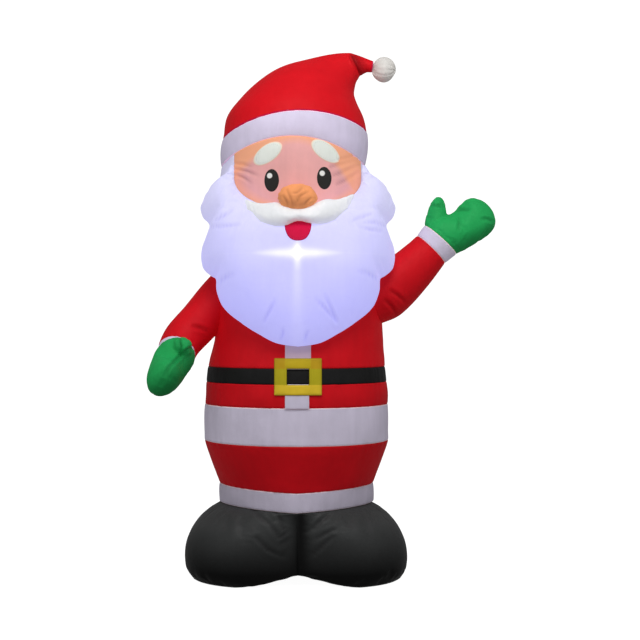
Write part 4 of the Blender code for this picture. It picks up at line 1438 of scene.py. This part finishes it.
def mitten(name, wrist_ring, direction, thumb_side, length=MITTEN_LENGTH, size=1.0, thumb_share=1.0):
    """A mitten that grows out of the wrist: a flattened hand and a thumb, sewn as one bag."""
    direction = direction.normalized()
    wrist = middle(wrist_ring)
    aside = (thumb_side - direction * thumb_side.dot(direction)).normalized()
    through = direction.cross(aside)
    palm = [wrist_ring]
    for share, offset, half_width, half_thickness in smooth_rows(MITTEN_PALM, count=44)[2:]:
        centre = wrist + direction * (share * length) + aside * (offset * size)
        wide, thick = aside * (half_width * size), through * (half_thickness * size)
        palm.append([centre + wide * math.cos(a) + thick * math.sin(a) for a in turns(ARM_SIDES)])
    thumb = []
    for share, offset, radius in smooth_rows(MITTEN_THUMB, count=24):
        along, out = share * length * thumb_share, offset * size * thumb_share
        centre = wrist + direction * along + aside * out
        thumb.append(round_ring(centre, direction + aside * 0.5, through, radius * size, THUMB_SIDES))
    bag = joined(name, skin(palm), skin(thumb))
    held = []
    for v in bag.data.vertices:
        offset = v.co - wrist
        if offset.dot(direction) < 0.006:
            held.append(v.index)
        elif abs(offset.dot(through)) < 0.0022 and noise.noise(v.co * 60) > -0.25:
            held.append(v.index)
    return bag, held


def mitten_finish():
    """Green cloth with painted shade on the lower part of each mitten."""
    f = polyester("green cloth", colours().green, on_cloth=False, seams=False)
    right = (f.across + 0.1).slope(0, 0.02)
    raised = (f.height - (f.across - 0.36) * 0.5).slope(0.740, 0.777)
    lowered = (f.height - (f.across + 0.285) * 0.95).slope(0.435, 0.490)
    # painted light: 1 on the upper part of each mitten, 0 on its shaded lower part
    painted_light = right * raised + (1 - right) * lowered
    shade = f.mix(painted_light, (0.46, 0.36, 0.34, 1), WHITE)
    return f.set(colour=f.product(f.paint(), shade)).material


class GARDEN_SANTA_OT_arms(bpy.types.Operator):
    """Sews the raised and the lowered arm with their cuffs and mittens"""
    bl_idname = "garden_santa.arms"
    bl_label = "Arms"
    bl_options = {"REGISTER", "UNDO"}

    def execute(self, context):
        red = polyester("sleeve cloth", colours().red, painted_light=0.15).material
        white = polyester("cuff cloth", colours().white, seam_colour=BAND_SEAM).material
        green = mitten_finish()

        sleeve_loops = [raised_ring(row) for row in smooth_rows(RAISED_SLEEVE)]
        wrist = raised_ring(RAISED_WRIST)
        self.sleeve("left", gathered(sleeve_loops, 51, top=0), red)
        self.cuff("left", sleeve_loops[-1], wrist, white)
        along = middle(wrist) - middle(sleeve_loops[-1])
        across = wrist[0] - wrist[ARM_SIDES // 2]
        direction = Vector((across.z, 0, -across.x))
        direction = direction if direction.dot(along) > 0 else -direction
        bag, held = mitten("left_mitten_cloth", wrist, direction, across)
        blow_up(bag, held, growth=0.04, cap=0.005)
        fold(bag, RAISED_MITTEN_FOLDS, depth=0.0035, width=0.0034, plane=-0.02)
        dress(finer(bag), green, "green_cloth", "left_mitten", padded=1.0)

        rows = smooth_rows([*LOWERED_SLEEVE, LOWERED_WRIST])
        rings = lowered_rings(rows)
        cut = min(range(len(rows)), key=lambda i: abs(rows[i][1] - LOWERED_SLEEVE[-1][1]))
        self.sleeve("right", gathered(rings[:cut + 1], 57, top=0), red)
        self.cuff("right", rings[cut], rings[-1], white)
        bag, held = mitten(
            "right_mitten_cloth", rings[-1], Vector(LOWERED_HAND_DIRECTION), Vector(LOWERED_THUMB_DIRECTION),
            LOWERED_HAND_LENGTH, LOWERED_HAND_SHARE, thumb_share=0.84)
        blow_up(bag, held, growth=0.04, cap=0.005)
        fold(bag, LOWERED_MITTEN_FOLDS, depth=0.0050, width=0.0034, plane=-0.2)
        dress(finer(bag), green, "green_cloth", "right_mitten", padded=1.0)
        return {"FINISHED"}

    def sleeve(self, side, loops, cloth):
        sleeve = sewn(side + "_sleeve_cloth", skin(loops))
        fold(sleeve, SLEEVE_FOLDS, depth=0.0040, width=0.0040, plane=0.0)
        dress(sleeve, cloth, "red_cloth", side + "_sleeve", padded=1.0)

    def cuff(self, side, first, last, cloth):
        cuff = sewn(side + "_cuff_cloth", skin(gathered(steps_between(first, last), 61, puckers=0.6)))
        dress(cuff, cloth, "white_cloth", side + "_cuff", padded=1.0)


# Boots

def boot_cleft(across):
    """1 in the middle, where the two boots meet, and nothing at some distance from it."""
    return max(0.0, 1 - math.hypot(across / BOOT_CLEFT_WIDTH, 0.08)) ** 1.25


def boot_arch(across):
    """How far the underside is off the ground, at this distance from the middle."""
    return BOOT_ARCH * boot_cleft(across)


def boot_loops(side):
    half, inner_wall = 110, 30
    narrow = BOOT_OUTLINE[-1][1]
    loops = []
    for share, span_share in smooth_rows(BOOT_OUTLINE[::-1], count=46):
        swell = max(0.0, (span_share - narrow) / (1 - narrow))
        squareness = between(BODY_SEAMS[0][2], BOOT_SQUARENESS, swell)
        loop = []
        for i in range(half + 1):
            angle = -math.pi / 2 + math.pi * i / half
            across = BOOT_HALF_SPAN * span_share * abs(math.cos(angle)) ** (2 / squareness)
            reach = BOOT_TOE_REACH if angle < 0 else BOOT_HEEL_REACH
            depth = between(BODY_SEAMS[0][1] * BODY_DEPTH_SHARE, reach, swell)
            cleft = BOOT_CLEFT * swell * boot_cleft(across)
            along = depth * signed_power(math.sin(angle), 2 / squareness) * (1 - cleft)
            level = between(BOOT_EDGE, ANKLE, share)
            sag = ANKLE_SAG * (1 - abs(math.cos(angle))) * share ** 4 if angle < 0 else 0
            level = between(max(level, boot_arch(across)), level, share) - sag
            loop.append(Vector((across, along, level)))
        loop += [loop[-1].lerp(loop[0], k / inner_wall) for k in range(1, inner_wall)]
        for p in loop:
            p.x = side * (p.x - BOOT_OVERLAP) * (1 if side < 0 else LEFT_BOOT_SHARE) + BODY_SHIFT * share
        loops.append(loop)
    centre = middle(loops[-1])
    flat = Vector((centre.x, centre.y, 0))
    for k in range(1, 4):
        turn = math.pi / 2 * k / 4
        drop = BOOT_EDGE * (1 - math.sin(turn))
        share = between(BOOT_FLAT_SHARE, 1, math.cos(turn))
        loops.append([boot_sole(flat, p, share, drop) for p in loops[-k]])
    loops.append([boot_sole(flat, p, BOOT_FLAT_SHARE, 0) for p in loops[-4]])
    return loops


def boot_sole(flat, p, share, drop):
    """A point of the underside, which is arched next to the other boot."""
    place = flat.lerp(Vector((p.x, p.y, 0)), share)
    return Vector((place.x, place.y, max(drop, boot_arch(place.x))))


def boot_finish():
    """Black cloth with a satin face, painted light on its upper side, painted shade low down and a painted
    shadow in the cleft between the boots.
    """
    f = polyester("boot cloth", colours().black, roughness=0.45, specular=0.13)
    # painted light: the upper side of each boot is much lighter, the bottom nearly black
    light = f.mix(f.height.slope(0.03, 0.13), (0.05, 0.05, 0.05, 1), (4.0, 4.2, 4.2, 1))
    paint = f.product(f.paint(), light)
    # painted shadow in the cleft where the two boots meet, at the front
    seam = (f.across - 0.006).bell(0.017) * (-f.depth).slope(0, 0.05)
    return f.set(colour=f.product(paint, f.mix(seam, WHITE, (0.12, 0.12, 0.12, 1)))).material


class GARDEN_SANTA_OT_boots(bpy.types.Operator):
    """Sews and blows up the two boots, which meet in the seam in the middle"""
    bl_idname = "garden_santa.boots"
    bl_label = "Boots"
    bl_options = {"REGISTER", "UNDO"}

    def execute(self, context):
        black = boot_finish()
        for node, side in (("left", 1), ("right", -1)):
            boot = sewn(node + "_boot_cloth", skin(boot_loops(side)))
            held = [
                v.index for v in boot.data.vertices
                if v.co.z < 0.006 or v.co.z > ANKLE - 0.008 or abs(v.co.x) < 0.004]
            blow_up(boot, held, growth=0.03, cap=0.003)
            fold(boot, BOOT_FOLDS, depth=0.0050, width=0.0036, plane=-0.16)
            dress(finer(boot), black, "black_cloth", node + "_boot", padded=1.0)
        return {"FINISHED"}


# Stage

class GARDEN_SANTA_OT_stage(bpy.types.Operator):
    """Sets up the pale floor, the soft lights and the camera"""
    bl_idname = "garden_santa.stage"
    bl_label = "Stage"
    bl_options = {"REGISTER", "UNDO"}

    def execute(self, context):
        self.make_floor()
        for light in LIGHTS:
            self.make_light(*light)
        world = bpy.data.worlds.new("studio")
        bpy.context.scene.world = world
        world.use_nodes = True
        background = world.node_tree.nodes["Background"]
        background.inputs["Color"].default_value = WHITE
        background.inputs["Strength"].default_value = SKY_STRENGTH
        bpy.context.scene.view_settings.view_transform = "Standard"
        self.make_camera()
        return {"FINISHED"}

    def make_floor(self):
        """A pale round floor that curves up far from the figure on all sides."""
        bm = bmesh.new()
        profile = [(0, 0), (FLOOR_RADIUS, 0)]
        for k in range(1, FLOOR_STEPS + 1):
            turn = math.pi / 2 * k / FLOOR_STEPS
            profile.append((
                FLOOR_RADIUS + FLOOR_CORNER * math.sin(turn), FLOOR_CORNER * (1 - math.cos(turn))))
        profile.append((FLOOR_RADIUS + FLOOR_CORNER, FLOOR_WALL))
        line = [bm.verts.new((x, 0, z)) for x, z in profile]
        edges = [bm.edges.new(pair) for pair in zip(line, line[1:])]
        bmesh.ops.spin(
            bm, geom=line + edges, cent=(0, 0, 0), axis=(0, 0, 1), angle=math.tau, steps=64, use_merge=True)
        bmesh.ops.remove_doubles(bm, verts=bm.verts, dist=0.0001)
        bmesh.ops.recalc_face_normals(bm, faces=bm.faces)
        if next(iter(bm.faces)).normal.z < 0:
            bmesh.ops.reverse_faces(bm, faces=bm.faces)
        mesh = bpy.data.meshes.new("studio_floor")
        bm.to_mesh(mesh)
        bm.free()
        mesh.shade_smooth()
        floor = bpy.data.objects.new("studio_floor", mesh)
        bpy.context.scene.collection.objects.link(floor)
        f = Finish("pale floor")
        f.set(colour=(0.6, 0.6, 0.6, 1), roughness=0.9, specular=0.0, glow=WHITE, glow_strength=0.97)
        mesh.materials.append(f.material)
        floor.visible_diffuse = False
        floor.visible_glossy = False
        floor.visible_shadow = False

    def make_light(self, name, place, size, power):
        light = bpy.data.lights.new(name, "AREA")
        light.shape = "SQUARE"
        light.size = size
        light.energy = power
        lamp = bpy.data.objects.new(name, light)
        lamp.location = Vector(place) + STAND
        toward = Vector((0, 0, LIGHTS_AIM)) - Vector(place)
        lamp.rotation_euler = toward.to_track_quat("-Z", "Y").to_euler()
        bpy.context.scene.collection.objects.link(lamp)

    def make_camera(self):
        data = bpy.data.cameras.new("photo_camera")
        data.sensor_width = 36
        data.lens = 36 * PHOTO_FOCAL / PHOTO_SIDE
        data.shift_x = (PHOTO_SIDE / 2 - PHOTO_AXIS_X) / PHOTO_SIDE
        data.shift_y = (PHOTO_HORIZON_Y - PHOTO_SIDE / 2) / PHOTO_SIDE
        camera = bpy.data.objects.new("photo_camera", data)
        camera.location = STAND + Vector((0, -CAMERA_DISTANCE, CAMERA_HEIGHT))
        camera.rotation_euler = (math.pi / 2, 0, 0)
        bpy.context.scene.collection.objects.link(camera)
        bpy.context.scene.camera = camera


class GARDEN_SANTA_PT_panel(bpy.types.Panel):
    """The sizes, colours and pieces of the garden figure"""
    bl_idname = "GARDEN_SANTA_PT_panel"
    bl_label = "Garden Santa"
    bl_space_type = "VIEW_3D"
    bl_region_type = "UI"
    bl_category = "Garden Santa"

    def draw(self, context):
        for group in (context.scene.garden_santa_sizes, context.scene.garden_santa_colours):
            box = self.layout.box()
            for key in group.bl_rna.properties.keys():
                if key not in ("rna_type", "name"):
                    box.prop(group, key)
        for maker in MAKERS:
            self.layout.operator(maker.bl_idname)


MAKERS = (
    GARDEN_SANTA_OT_stage, GARDEN_SANTA_OT_body, GARDEN_SANTA_OT_belt, GARDEN_SANTA_OT_hat,
    GARDEN_SANTA_OT_head, GARDEN_SANTA_OT_beard, GARDEN_SANTA_OT_details, GARDEN_SANTA_OT_arms,
    GARDEN_SANTA_OT_boots,
)
CLASSES = (GardenSantaSizes, GardenSantaColours, *MAKERS, GARDEN_SANTA_PT_panel)


def register():
    for entry in CLASSES:
        bpy.utils.register_class(entry)
    bpy.types.Scene.garden_santa_sizes = bpy.props.PointerProperty(type=GardenSantaSizes)
    bpy.types.Scene.garden_santa_colours = bpy.props.PointerProperty(type=GardenSantaColours)


def unregister():
    del bpy.types.Scene.garden_santa_colours
    del bpy.types.Scene.garden_santa_sizes
    for entry in reversed(CLASSES):
        bpy.utils.unregister_class(entry)


def main():
    register()
    makers = bpy.ops.garden_santa
    makers.stage()
    makers.body()
    makers.belt()
    makers.hat()
    makers.head()
    makers.beard()
    makers.details()
    makers.arms()
    makers.boots()


if __name__ == "__main__":
    main()
